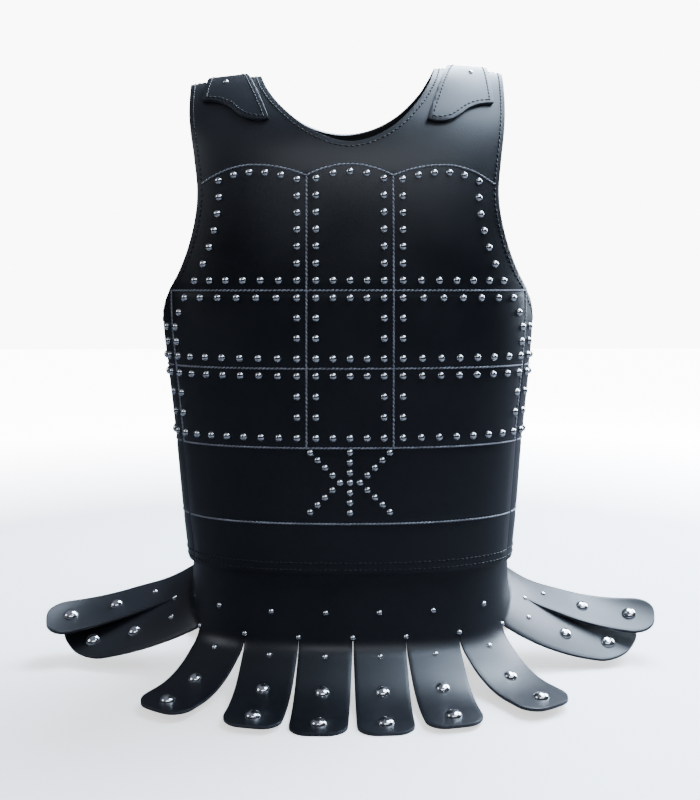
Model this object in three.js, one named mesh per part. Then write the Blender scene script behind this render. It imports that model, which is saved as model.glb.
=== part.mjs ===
// A studded leather cuirass: a formed front and back, a shoulder patch over each seam, and a skirt of
// rounded strips that splay out and carry it. Millimetres, +Z up, the front faces -Y.
import * as THREE from "three";

// Leather and gaps
const TORSO_THICKNESS = 3.5;
const SKIRT_THICKNESS = 3;
const PATCH_THICKNESS = 4;
const SEAM_GAP = 0.3;
const PATCH_GAP = 0.6;
const DOME_GAP = { floor: 0.9, wing: 0.95 };

// Torso sections from the lower edge to the crest of the shoulders, on the leather's outer face.
// z: height, halfWidth: half the section's width, front and back: its depth ahead of and behind the sides
const TORSO_ROWS = [
  { z: 115, halfWidth: 175, front: 97, back: 90 },
  { z: 165, halfWidth: 180, front: 99, back: 91 },
  { z: 240, halfWidth: 187, front: 101.5, back: 94 },
  { z: 320, halfWidth: 195.5, front: 104.5, back: 99 },
  { z: 372, halfWidth: 200, front: 106, back: 102 },
  { z: 430, halfWidth: 200, front: 105, back: 104 },
  { z: 490, halfWidth: 199, front: 100, back: 102 },
  { z: 535, halfWidth: 198, front: 92, back: 95 },
  { z: 570, halfWidth: 198, front: 79, back: 83 },
  { z: 599, halfWidth: 198, front: 60, back: 64 },
  { z: 622, halfWidth: 198, front: 38, back: 41 },
  { z: 636.5, halfWidth: 198, front: 17, back: 19 },
  { z: 640, halfWidth: 198, front: 0, back: 0 },
];
const ROUNDNESS = 2.4; // exponent of the section's curve: 2 is an ellipse, more is squarer
const SIDE_SEAM_ANGLE = 64.5; // degrees round from the middle of the front
// Above a height, the shoulder on +X stands a little higher, and both fall towards their outer ends.
const SHOULDER_SET = { rise: 6, fall: 10.3, from: 540, over: 95 };

// The sides lean: below the level height they stand a little to +X, above it to -X.
const SIDE_LEAN = { levelZ: 370, slope: 0.0098 };

// Armhole edge, the same on the front and the back
const ARMHOLE_ROWS = [
  { z: 416, halfWidth: 177.5 },
  { z: 440, halfWidth: 166.5 },
  { z: 470, halfWidth: 158 },
  { z: 500, halfWidth: 155 },
  { z: 532, halfWidth: 158.5 },
  { z: 565, halfWidth: 163.5 },
  { z: 600, halfWidth: 167 },
];
// Bottom of the armhole on the back panel, which wraps the side. angle: from the middle of the back
const UNDERARM_ROWS = [
  { angle: 66.5, z: 398 },
  { angle: 74, z: 381 },
  { angle: 82, z: 373.5 },
  { angle: 90, z: 371 },
  { angle: 98, z: 373.5 },
  { angle: 106, z: 382 },
];
const UNDERARM_SEAM_Z = 402;
const SHOULDER = { inner: 94, outer: 169 };
// Neck: how far down the leather it drops from the crest, and the exponents of its curves
const NECK = { front: 131, back: 99.5, frontRoundness: 1.85, backRoundness: 1.95 };

// Plates: the heights of the sewn lines over and under each row of plates. rowStuds and columnStuds: the
// studs in a front side plate's top and bottom rows, and in its inner and outer columns between them
const PLATE_ROWS = [
  { bottom: 399.5, rowStuds: [6, 7], columnStuds: [5, 5] },
  { top: 399.5, bottom: 321.5, rowStuds: [7, 8], columnStuds: [2, 3] },
  { top: 321.5, bottom: 242, rowStuds: [8, 8], columnStuds: [2, 2] },
];
const MIDDLE_ROW_STUDS = 5;
const COLUMN_HALF_WIDTH = 43.5;
const ARCH = { valleyZ: 515, crestZ: 526.5, outerCrestX: 98, outerEndX: 152, outerEndZ: 507 };
const STUD = { inset: 9.5, above: 10, below: 7.5, pitch: 17.6, radius: 4, height: 3 };
// The outer stud columns keep clear of the armhole, then slant out to the side seam.
const OUTER_COLUMN = { margin: 23, slantTopZ: 395, slantEndZ: 365 };

// The six-ray star on the belly band: an upright bar between two arrowheads
const STAR = { z: 207.5, barStuds: 7, barPitch: 10.1, apexX: 10, armStuds: 4, step: 7.45 };

// Skirt band from its hidden top to the slit ends, on its outer face
const BAND_ROWS = [
  { z: 126, halfWidth: 171.3, front: 92.6, back: 85.4 },
  { z: 112, halfWidth: 170.2, front: 92.2, back: 85.2 },
  { z: 55, halfWidth: 171, front: 99, back: 93 },
];
const SKIRT_SHIFT_X = 2.5; // the skirt hangs a little towards +X
const SLIT_Z = 55;
const FRONT_SLITS_X = [-158.5, -109, -54, 0.5, 54, 109, 158.5];
const WING_STRIP_WIDTH = 50;
const STRIP = { length: 130, wingLength: 135, tipRadius: 15, slitGap: 1.2 };

// How a floor strip bends: out from the band, down a slope, then in a long curve that ends level
const FLOOR_BEND = { radius: 24, slope: 35, footRadius: 100 };
// How a side strip folds: a sharp crease at the front corner that opens and rises towards the back.
// It starts down a slope and ends flatter; the side on +X hangs lower and flattens more.
const WING_FOLD = { frontRadius: 10, backRadius: 18, frontZ: 55, backZ: 113 };
// Slopes in degrees where a strip leaves its fold, at the front and at the back, and far out. ahead: how
// many degrees the strips turn to the front. swing: how far the upper one's end comes forward
const WINGS = {
  left: { front: 33.5, back: 43, end: 1, ahead: -2, swing: 35 },
  right: { front: 26.5, back: 35, end: 6, ahead: -5.5, swing: 41 },
};
// How the upper side strip laps forward over the lower one
const WING_LAP = { lift: 3.8, over: 40 };
// Which way each floor strip goes, in degrees from straight ahead or straight back, and how high it ends
const FRONT_STRIPS = [
  { direction: -26.5, lift: 8 },
  { direction: -7.5, lift: 5 },
  { direction: -4, lift: 0 },
  { direction: 1, lift: 0 },
  { direction: 6.5, lift: 4 },
  { direction: 28.5, lift: 8 },
];
const BACK_STRIPS = [
  { direction: -40, lift: 0 },
  { direction: -17, lift: 0 },
  { direction: -5, lift: 0 },
  { direction: 5, lift: 0 },
  { direction: 17, lift: 0 },
  { direction: 40, lift: 0 },
];

const BAND_STUD = { z: 76, radius: 3, height: 2.2 };
const STRIP_STUD = { distance: 21, wingDistance: 22, radius: 3.2, height: 2.3 };
const MIDDLE_DOME = { distance: 61.5, wingDistance: 66, radius: 7, height: 4 };
const TIP_DOME = { distance: 108, wingDistance: 112, radius: 8, height: 5 };
const LOWER_WING_SHIFT = 4; // how much nearer the band the lower side strips have theirs

// Shoulder patches: the sides run from the crest to the feet, and a curved end joins the feet.
// x: across the shoulder, down: along the leather from the crest
const PATCHES = {
  right: [
    { x: 111, down: 0 },
    { x: 82, down: 102 },
    { x: 92, down: 103.5 },
    { x: 104, down: 100 },
    { x: 114.5, down: 91 },
    { x: 125, down: 76 },
    { x: 137.5, down: 66 },
    { x: 152.5, down: 60.5 },
    { x: 148, down: 0 },
  ],
  left: [
    { x: 112, down: 0 },
    { x: 79.5, down: 106 },
    { x: 91, down: 108 },
    { x: 103, down: 106 },
    { x: 113.5, down: 99.5 },
    { x: 125, down: 89 },
    { x: 138, down: 82 },
    { x: 152, down: 78.5 },
    { x: 151, down: 0 },
  ],
};

// Mesh density: the distance between points
const TORSO_SPACING = 29;
const EDGE_SPACING = 10;
const PATCH_SPACING = 10;

const LEATHER = { color: 0x15171c, roughness: 0.45, metalness: 0 };
const PATCH_LEATHER = { color: 0x1b1e24, roughness: 0.4, metalness: 0 };
const NICKEL = { color: 0xc9cbd0, roughness: 0.15, metalness: 1 };

// The middle of the part's box, which is moved to the origin
const BOX_CENTRE = { x: 3.5, y: -3.2 };

const { degToRad, lerp, smoothstep } = THREE.MathUtils;
const last = (list) => list[list.length - 1];
const range = (count) => Array.from({ length: count }, (_, i) => i);

// Smooth curve through a table's column, at a fractional row number.
function curveAt(values, row) {
  const i = Math.min(Math.max(Math.floor(row), 0), values.length - 2);
  const t = row - i;
  const before = values[i - 1] ?? 2 * values[i] - values[i + 1];
  const after = values[i + 2] ?? 2 * values[i + 1] - values[i];
  const rise = (values[i + 1] - before) / 2;
  const fall = (after - values[i]) / 2;
  const blend = t * t * (3 - 2 * t);
  return lerp(values[i], values[i + 1], blend) + t * (1 - t) * ((1 - t) * rise - t * fall);
}

// The value at which a rising function reaches a target.
function solve(rising, target, low, high) {
  for (const _ of range(50)) {
    const middle = (low + high) / 2;
    if (rising(middle) < target) low = middle;
    else high = middle;
  }
  return (low + high) / 2;
}

// Point of the unit section at an angle from the middle of the front: x across, y ahead.
function sectionPoint(angle) {
  const s = Math.sin(degToRad(angle));
  const c = Math.cos(degToRad(angle));
  const reach = (Math.abs(s) ** ROUNDNESS + Math.abs(c) ** ROUNDNESS) ** (-1 / ROUNDNESS);
  return [reach * s, reach * c];
}

// Angle at which the near side of a section of the given half width stands at x.
function angleOfX(x, halfWidth) {
  const across = Math.min(Math.abs(x) / halfWidth, 1);
  const ahead = (1 - across ** ROUNDNESS) ** (1 / ROUNDNESS);
  return (Math.sign(x) * Math.atan2(across, ahead) * 180) / Math.PI;
}

// Length round a section against the angle, so that flat patterns keep their sizes.
class Girth {
  constructor(halfWidth, depth) {
    this.lengths = [0];
    for (const angle of range(180)) {
      const [x0, y0] = sectionPoint(angle);
      const [x1, y1] = sectionPoint(angle + 1);
      this.lengths.push(last(this.lengths) + Math.hypot(halfWidth * (x1 - x0), depth * (y1 - y0)));
    }
  }

  lengthAt(angle) {
    const i = Math.min(Math.floor(Math.abs(angle)), 179);
    return Math.sign(angle) * lerp(this.lengths[i], this.lengths[i + 1], Math.abs(angle) - i);
  }

  angleAt(length) {
    const reach = Math.abs(length);
    const i = Math.min(Math.max(this.lengths.findIndex((value) => value > reach) - 1, 0), 179);
    return Math.sign(length) * (i + (reach - this.lengths[i]) / (this.lengths[i + 1] - this.lengths[i]));
  }
}

// A surface point moved out along its normal. surface(du, dv) gives the surface near the point.
function movedOut(surface, out, back = 0.05) {
  const step = 0.05;
  const across = surface(step, 0).sub(surface(-step, 0));
  const along = surface(0, step).sub(surface(0, -back));
  return surface(0, 0).addScaledVector(across.cross(along).normalize(), out);
}

// The torso's outer face as one surface: up the front, over the shoulders and down the back.
// Pattern points: u is the length round from the middle of a panel, v the length up and over.
class Torso {
  constructor() {
    this.crest = TORSO_ROWS.length - 1;
    this.end = 2 * this.crest;
    const loop = [...TORSO_ROWS, ...TORSO_ROWS.slice(0, this.crest).reverse()];
    this.z = loop.map((row) => row.z);
    this.halfWidth = loop.map((row) => row.halfWidth);
    this.depth = loop.map((row, i) => (i <= this.crest ? row.front : -row.back));
    this.girth = new Girth(190, 102);
    this.run = [0];
    for (const i of range(this.end)) {
      const step = Math.hypot(this.z[i + 1] - this.z[i], this.depth[i + 1] - this.depth[i]);
      this.run.push(this.run[i] + step);
    }
    this.crestRun = this.run[this.crest];
  }

  rowOfRun(v) {
    const next = this.run.findIndex((value) => value > v);
    const i = next < 0 ? this.end - 1 : Math.max(next - 1, 0);
    return i + (v - this.run[i]) / (this.run[i + 1] - this.run[i]);
  }

  runOfRow(row) {
    const i = Math.min(Math.floor(row), this.end - 1);
    return lerp(this.run[i], this.run[i + 1], row - i);
  }

  rowOfZ(z, isBack) {
    const row = solve((r) => curveAt(this.z, r), z, 0, this.crest);
    return isBack ? this.end - row : row;
  }

  face(angle, row) {
    const [across, ahead] = sectionPoint(angle);
    const isOwnSide = row > this.crest === ahead < 0;
    const z = curveAt(this.z, row);
    const lean = SIDE_LEAN.slope * (SIDE_LEAN.levelZ - z) * across * across;
    const x = across * curveAt(this.halfWidth, row) + lean;
    const y = -Math.abs(ahead) * curveAt(this.depth, isOwnSide ? row : this.end - row);
    const { rise, fall, from, over } = SHOULDER_SET;
    const part = x / SHOULDER.outer;
    const set = rise * Math.sin((part * Math.PI) / 2) - fall * part * part;
    return new THREE.Vector3(x, y, z + set * smoothstep(z, from, from + over));
  }

  // A pattern point of a panel in space. out: from the leather's outer face
  place(isBack, u, v, out) {
    const surface = (du, dv) => {
      const angle = this.girth.angleAt(u + du);
      return this.face(isBack ? 180 - angle : angle, this.rowOfRun(v + dv));
    };
    return movedOut(surface, out);
  }

  // The pattern point that shows at x and z on the front or the back.
  pattern(isBack, x, z) {
    const row = this.rowOfZ(z, isBack);
    const angle = angleOfX(x, curveAt(this.halfWidth, row));
    return { u: this.girth.lengthAt(angle), v: this.runOfRow(row) };
  }

  // The same by the angle round the section.
  patternAtAngle(isBack, angle, z) {
    return { u: this.girth.lengthAt(angle), v: this.runOfRow(this.rowOfZ(z, isBack)) };
  }
}

const torso = new Torso();

// Points along a list of corners, no further apart than the spacing, without the last corner.
function alongLine(corners, spacing) {
  return corners.slice(1).flatMap((end, i) => {
    const start = corners[i];
    const count = Math.max(Math.ceil(Math.hypot(end.u - start.u, end.v - start.v) / spacing), 1);
    return range(count).map((n) => ({
      u: lerp(start.u, end.u, n / count),
      v: lerp(start.v, end.v, n / count),
    }));
  });
}

// Points of a smooth curve through a few pattern points, without its last point.
function alongCurve(points, spacing) {
  const curve = new THREE.SplineCurve(points.map(({ u, v }) => new THREE.Vector2(u, v)));
  const count = Math.ceil(curve.getLength() / spacing);
  return range(count).map((n) => {
    const { x, y } = curve.getPointAt(n / count);
    return { u: x, v: y };
  });
}

function isInside(point, outline) {
  let inside = false;
  outline.forEach((a, i) => {
    const b = outline[(i + 1) % outline.length];
    if (a.v > point.v === b.v > point.v) return;
    if (point.u < a.u + ((b.u - a.u) * (point.v - a.v)) / (b.v - a.v)) inside = !inside;
  });
  return inside;
}

function distanceToOutline(point, outline) {
  return Math.min(
    ...outline.map((a, i) => {
      const b = outline[(i + 1) % outline.length];
      const [du, dv] = [b.u - a.u, b.v - a.v];
      const along = ((point.u - a.u) * du + (point.v - a.v) * dv) / (du * du + dv * dv);
      const t = Math.min(Math.max(along, 0), 1);
      return Math.hypot(point.u - a.u - t * du, point.v - a.v - t * dv);
    }),
  );
}

// Rows of points that fill an outline, every other row moved by half the spacing.
function fillPoints(outline, spacing) {
  const us = outline.map((point) => point.u);
  const vs = outline.map((point) => point.v);
  const rowStep = (spacing * Math.sqrt(3)) / 2;
  const points = [];
  for (let v = Math.min(...vs) + rowStep / 2, row = 0; v < Math.max(...vs); v += rowStep, row++)
    for (let u = Math.min(...us) + (row % 2) * (spacing / 2); u < Math.max(...us); u += spacing) {
      const point = { u, v };
      if (isInside(point, outline) && distanceToOutline(point, outline) > 0.42 * spacing) points.push(point);
    }
  return points;
}

// True where a point lies in the circle through three points that run anticlockwise.
function isInCircle(point, corners) {
  const [a, b, c] = corners.map(({ u, v }) => {
    const [du, dv] = [u - point.u, v - point.v];
    return { du, dv, square: du * du + dv * dv };
  });
  const cross = (p, q) => p.du * q.dv - q.du * p.dv;
  return a.square * cross(b, c) + b.square * cross(c, a) + c.square * cross(a, b) > 0;
}

// Delaunay triangles of the points, anticlockwise, whose middles lie inside the outline.
function triangulate(points, outline) {
  // Tiny shifts keep four points of a regular row off one circle.
  const shifted = points.map(({ u, v }, i) => ({
    u: u + 1e-4 * Math.sin(12.9 * i),
    v: v + 1e-4 * Math.cos(78.2 * i),
  }));
  const far = 2e4;
  const count = shifted.length;
  shifted.push({ u: -far, v: -far }, { u: far, v: -far }, { u: 0, v: far });
  let triangles = [[count, count + 1, count + 2]];
  for (const i of range(count)) {
    const open = new Map();
    const kept = [];
    for (const triangle of triangles) {
      if (!isInCircle(shifted[i], triangle.map((corner) => shifted[corner]))) {
        kept.push(triangle);
        continue;
      }
      triangle.forEach((from, k) => {
        const to = triangle[(k + 1) % 3];
        if (!open.delete(`${to},${from}`)) open.set(`${from},${to}`, [from, to]);
      });
    }
    triangles = kept.concat([...open.values()].map(([from, to]) => [from, to, i]));
  }
  return triangles
    .filter((corners) => corners.every((i) => i < count))
    .filter((corners) => {
      const [a, b, c] = corners.map((i) => points[i]);
      return isInside({ u: (a.u + b.u + c.u) / 3, v: (a.v + b.v + c.v) / 3 }, outline);
    });
}

// Ring and top of each stud, as pattern points that are raised by their own height.
function studPoints(studs, place) {
  const step = 0.5;
  return studs.flatMap(({ u, v, radius, height }) => {
    const across = place(u + step, v, 0).distanceTo(place(u - step, v, 0)) / (2 * step);
    const along = place(u, v + step, 0).distanceTo(place(u, v - step, 0)) / (2 * step);
    const ring = range(6).map((i) => ({
      u: u + (radius * Math.cos((i * Math.PI) / 3)) / across,
      v: v + (radius * Math.sin((i * Math.PI) / 3)) / along,
      raised: 0,
    }));
    return [...ring, { u, v, raised: height }];
  });
}

// A closed leather wall from flat pieces that may share edges.
// Each piece has an outline, filling points, studs and place(u, v, out), with out from the outer face.
function leatherWall(pieces, thickness) {
  const positions = [];
  const indices = [];
  const known = new Map();
  const edges = new Map();
  const innerOf = new Map();

  const vertex = (point) => {
    const key = point.toArray().map((value) => Math.round(value * 500)).join();
    if (!known.has(key)) {
      known.set(key, positions.length / 3);
      positions.push(...point.toArray());
    }
    return known.get(key);
  };

  for (const { outline, fill, studs = [], place } of pieces) {
    const clear = fill.filter((point) =>
      studs.every((stud) => Math.hypot(point.u - stud.u, point.v - stud.v) > stud.radius + 4.5),
    );
    const outerPoints = [...outline, ...clear, ...studPoints(studs, place)];
    const outer = outerPoints.map(({ u, v, raised = 0 }) => vertex(place(u, v, raised)));
    const innerPoints = [...outline, ...fill];
    const inner = innerPoints.map(({ u, v }) => vertex(place(u, v, -thickness)));
    outline.forEach((_, i) => innerOf.set(outer[i], inner[i]));

    for (const corners of triangulate(outerPoints, outline)) {
      const [a, b, c] = corners.map((i) => outer[i]);
      indices.push(a, b, c);
      for (const [from, to] of [[a, b], [b, c], [c, a]])
        if (!edges.delete(`${to},${from}`)) edges.set(`${from},${to}`, [from, to]);
    }
    for (const corners of triangulate(innerPoints, outline)) {
      const [a, b, c] = corners.map((i) => inner[i]);
      indices.push(a, c, b);
    }
  }
  // What is left are the outer face's own edges, and a rim joins each to the inner face.
  for (const [a, b] of edges.values()) {
    indices.push(b, a, innerOf.get(a));
    indices.push(b, innerOf.get(a), innerOf.get(b));
  }
  const geometry = new THREE.BufferGeometry();
  geometry.setAttribute("position", new THREE.Float32BufferAttribute(positions, 3));
  geometry.setIndex(indices);
  return geometry;
}

const seamHalfWidth = sectionPoint(SIDE_SEAM_ANGLE)[0] * 200;
const armholeCurve = new THREE.SplineCurve(
  [
    { z: UNDERARM_SEAM_Z - 16, halfWidth: seamHalfWidth + 10 },
    ...ARMHOLE_ROWS,
    { z: last(TORSO_ROWS).z, halfWidth: SHOULDER.outer },
  ].map(({ z, halfWidth }) => new THREE.Vector2(halfWidth, z)),
);

function armholeX(z) {
  const t = solve((value) => armholeCurve.getPoint(value).y, z, 0, 1);
  return armholeCurve.getPoint(t).x;
}

// Right half of a panel's outline, from the middle of its lower edge up round to the middle of the neck.
function panelHalfOutline(isBack) {
  const towardsCrest = isBack ? 1 : -1;
  const seamAngle = isBack ? 180 - SIDE_SEAM_ANGLE : SIDE_SEAM_ANGLE;
  const seamU = torso.girth.lengthAt(seamAngle) - SEAM_GAP / 2;
  const lowerV = isBack ? torso.run[torso.end] : 0;
  const underarm = torso.patternAtAngle(isBack, seamAngle, UNDERARM_SEAM_Z);
  underarm.u = seamU;
  const shoulderV = torso.crestRun + (towardsCrest * SEAM_GAP) / 2;
  const atShoulder = (x) => ({ u: torso.girth.lengthAt(angleOfX(x, last(TORSO_ROWS).halfWidth)), v: shoulderV });

  const lowerArm = isBack ? UNDERARM_ROWS.map((row) => torso.patternAtAngle(isBack, row.angle, row.z)) : [];
  const armhole = [
    underarm,
    ...lowerArm.reverse(),
    ...ARMHOLE_ROWS.map((row) => torso.pattern(isBack, row.halfWidth, row.z)),
    atShoulder(SHOULDER.outer),
  ];
  const drop = isBack ? NECK.back : NECK.front;
  const power = 2 / (isBack ? NECK.backRoundness : NECK.frontRoundness);
  const neck = range(15).map((i) => {
    const turn = degToRad((i * 90) / 14);
    const x = SHOULDER.inner * Math.cos(turn) ** power;
    const down = drop * Math.sin(turn) ** power;
    const v = shoulderV + towardsCrest * down;
    const halfWidth = curveAt(torso.halfWidth, torso.rowOfRun(v));
    return { u: torso.girth.lengthAt(angleOfX(x, halfWidth)), v };
  });
  return [
    ...alongLine([{ u: 0, v: lowerV }, { u: seamU, v: lowerV }, underarm], EDGE_SPACING),
    ...alongCurve(armhole, EDGE_SPACING),
    ...alongLine([atShoulder(SHOULDER.outer), neck[0]], EDGE_SPACING),
    ...neck,
  ];
}

function mirroredOutline(half) {
  const inner = half.slice(1, -1);
  return [...half, ...inner.reverse().map(({ u, v }) => ({ u: -u, v }))];
}

// Height of the arched line over the plates.
function archZ(x) {
  const across = Math.abs(x);
  if (across < COLUMN_HALF_WIDTH) {
    const rise = ARCH.crestZ - ARCH.valleyZ;
    return ARCH.valleyZ + rise * (1 - (across / COLUMN_HALF_WIDTH) ** 2);
  }
  const isInner = across < ARCH.outerCrestX;
  const endX = isInner ? COLUMN_HALF_WIDTH : ARCH.outerEndX;
  const endZ = isInner ? ARCH.valleyZ : ARCH.outerEndZ;
  return ARCH.crestZ - (ARCH.crestZ - endZ) * ((across - ARCH.outerCrestX) / (endX - ARCH.outerCrestX)) ** 2;
}

// Studs inside the border of every plate of a panel.
function plateStuds(isBack) {
  const seamAngle = isBack ? 180 - SIDE_SEAM_ANGLE : SIDE_SEAM_ANGLE;
  const seamU = torso.girth.lengthAt(seamAngle) - STUD.inset;
  const uOfX = (x, z) => torso.pattern(isBack, x, z).u;
  const outerU = (z) => {
    const { margin, slantTopZ, slantEndZ } = OUTER_COLUMN;
    const besideArmhole = uOfX(armholeX(Math.max(z, slantTopZ)) - margin, Math.max(z, slantTopZ));
    const part = Math.min(Math.max((z - slantEndZ) / (slantTopZ - slantEndZ), 0), 1);
    return lerp(seamU, besideArmhole, part);
  };
  const studs = [];
  const add = (side, u, z) => {
    const { v } = torso.pattern(isBack, 0, z);
    studs.push({ u: side * u, v, radius: STUD.radius, height: STUD.height });
  };
  // Rows at the top and bottom of a plate, then columns between them. zAt(u): height of a row
  const border = (side, innerAt, outerAt, topAt, bottomZ, rowStuds, columnStuds) => {
    const topOuterZ = topAt(outerAt(topAt(outerAt(bottomZ))));
    [[topAt, topOuterZ], [() => bottomZ, bottomZ]].forEach(([zAt, cornerZ], row) => {
      const [from, to] = [innerAt(cornerZ), outerAt(cornerZ)];
      const steps = rowStuds ? rowStuds[row] - 1 : Math.round((to - from) / STUD.pitch);
      for (const i of range(steps + 1)) {
        const u = lerp(from, to, i / steps);
        add(side, u, zAt(u));
      }
    });
    [innerAt, outerAt].forEach((edgeAt, column) => {
      const topZ = topAt(edgeAt(topOuterZ));
      const steps = columnStuds[column] + 1;
      for (const i of range(steps - 1)) {
        const z = lerp(bottomZ, topZ, (i + 1) / steps);
        add(side, edgeAt(z), z);
      }
    });
  };
  const archTop = (u) => {
    const row = torso.rowOfZ(ARCH.valleyZ, isBack);
    const [across] = sectionPoint(torso.girth.angleAt(u));
    return archZ(across * curveAt(torso.halfWidth, row)) - STUD.below;
  };
  const innerEdge = COLUMN_HALF_WIDTH + STUD.inset;
  const middleEdge = COLUMN_HALF_WIDTH - STUD.inset;
  for (const { top, bottom, rowStuds, columnStuds } of PLATE_ROWS) {
    const topAt = top === undefined ? archTop : () => top - STUD.below;
    const bottomZ = bottom + STUD.above;
    const sideRows = isBack ? null : rowStuds;
    for (const side of [-1, 1])
      border(side, (z) => uOfX(innerEdge, z), outerU, topAt, bottomZ, sideRows, columnStuds);
    const middleRows = [MIDDLE_ROW_STUDS, MIDDLE_ROW_STUDS];
    const middleColumns = [columnStuds[0], columnStuds[0]];
    border(1, (z) => uOfX(-middleEdge, z), (z) => uOfX(middleEdge, z), topAt, bottomZ, middleRows, middleColumns);
  }
  return studs;
}

function starStuds() {
  const { z, barStuds, barPitch, apexX, armStuds, step } = STAR;
  const places = range(barStuds).map((i) => [0, z + (i - (barStuds - 1) / 2) * barPitch]);
  for (const side of [-1, 1])
    for (const i of range(2 * armStuds + 1)) {
      const arm = i - armStuds;
      places.push([side * (apexX + Math.abs(arm) * step), z + arm * step]);
    }
  return places.map(([x, height]) => ({
    ...torso.pattern(false, x, height),
    radius: STUD.radius - 0.4,
    height: STUD.height,
  }));
}

function panelGeometry(isBack) {
  const outline = mirroredOutline(panelHalfOutline(isBack));
  // The back's outline is turned so that it runs anticlockwise like the front's.
  if (isBack) outline.reverse();
  const studs = isBack ? plateStuds(true) : [...plateStuds(false), ...starStuds()];
  const place = (u, v, out) => torso.place(isBack, u, v, out);
  return leatherWall([{ outline, fill: fillPoints(outline, TORSO_SPACING), studs, place }], TORSO_THICKNESS);
}

// How far out and down a bent strip has gone after a length of leather below its fold. It leaves the
// bend down a slope, which may change evenly to another slope over the strip's length.
function bendPath(length, radius, slope, endSlope = slope) {
  const turn = degToRad(90 - slope);
  const angle = Math.min(length / radius, turn);
  const straight = Math.max(length - radius * turn, 0);
  const middleSlope = degToRad(lerp(slope, endSlope, straight / (2 * STRIP.length)));
  return {
    out: radius * (1 - Math.cos(angle)) + straight * Math.cos(middleSlope),
    down: radius * Math.sin(angle) + straight * Math.sin(middleSlope),
  };
}

// The same for a strip that ends flat on the floor, given the height of its fold.
function floorPath(length, foldZ) {
  const { radius, slope, footRadius } = FLOOR_BEND;
  const tilt = degToRad(slope);
  const bend = bendPath(1e-9 + radius * degToRad(90 - slope), radius, slope);
  const footDown = footRadius * (1 - Math.cos(tilt));
  const slopeLength = (foldZ - bend.down - footDown) / Math.sin(tilt);
  const footStart = radius * degToRad(90 - slope) + slopeLength;
  if (length <= footStart) return bendPath(length, radius, slope);
  const start = bendPath(footStart, radius, slope);
  const angle = Math.min((length - footStart) / footRadius, tilt);
  const flat = Math.max(length - footStart - footRadius * tilt, 0);
  return {
    out: start.out + footRadius * (Math.sin(tilt) - Math.sin(tilt - angle)) + flat,
    down: start.down + footRadius * (Math.cos(tilt - angle) - Math.cos(tilt)),
  };
}

// The floor strip next to each corner slit of the front skirt, by the slit's number
const FLOOR_OWNERS = { 2: 2, 8: 7 };

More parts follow.
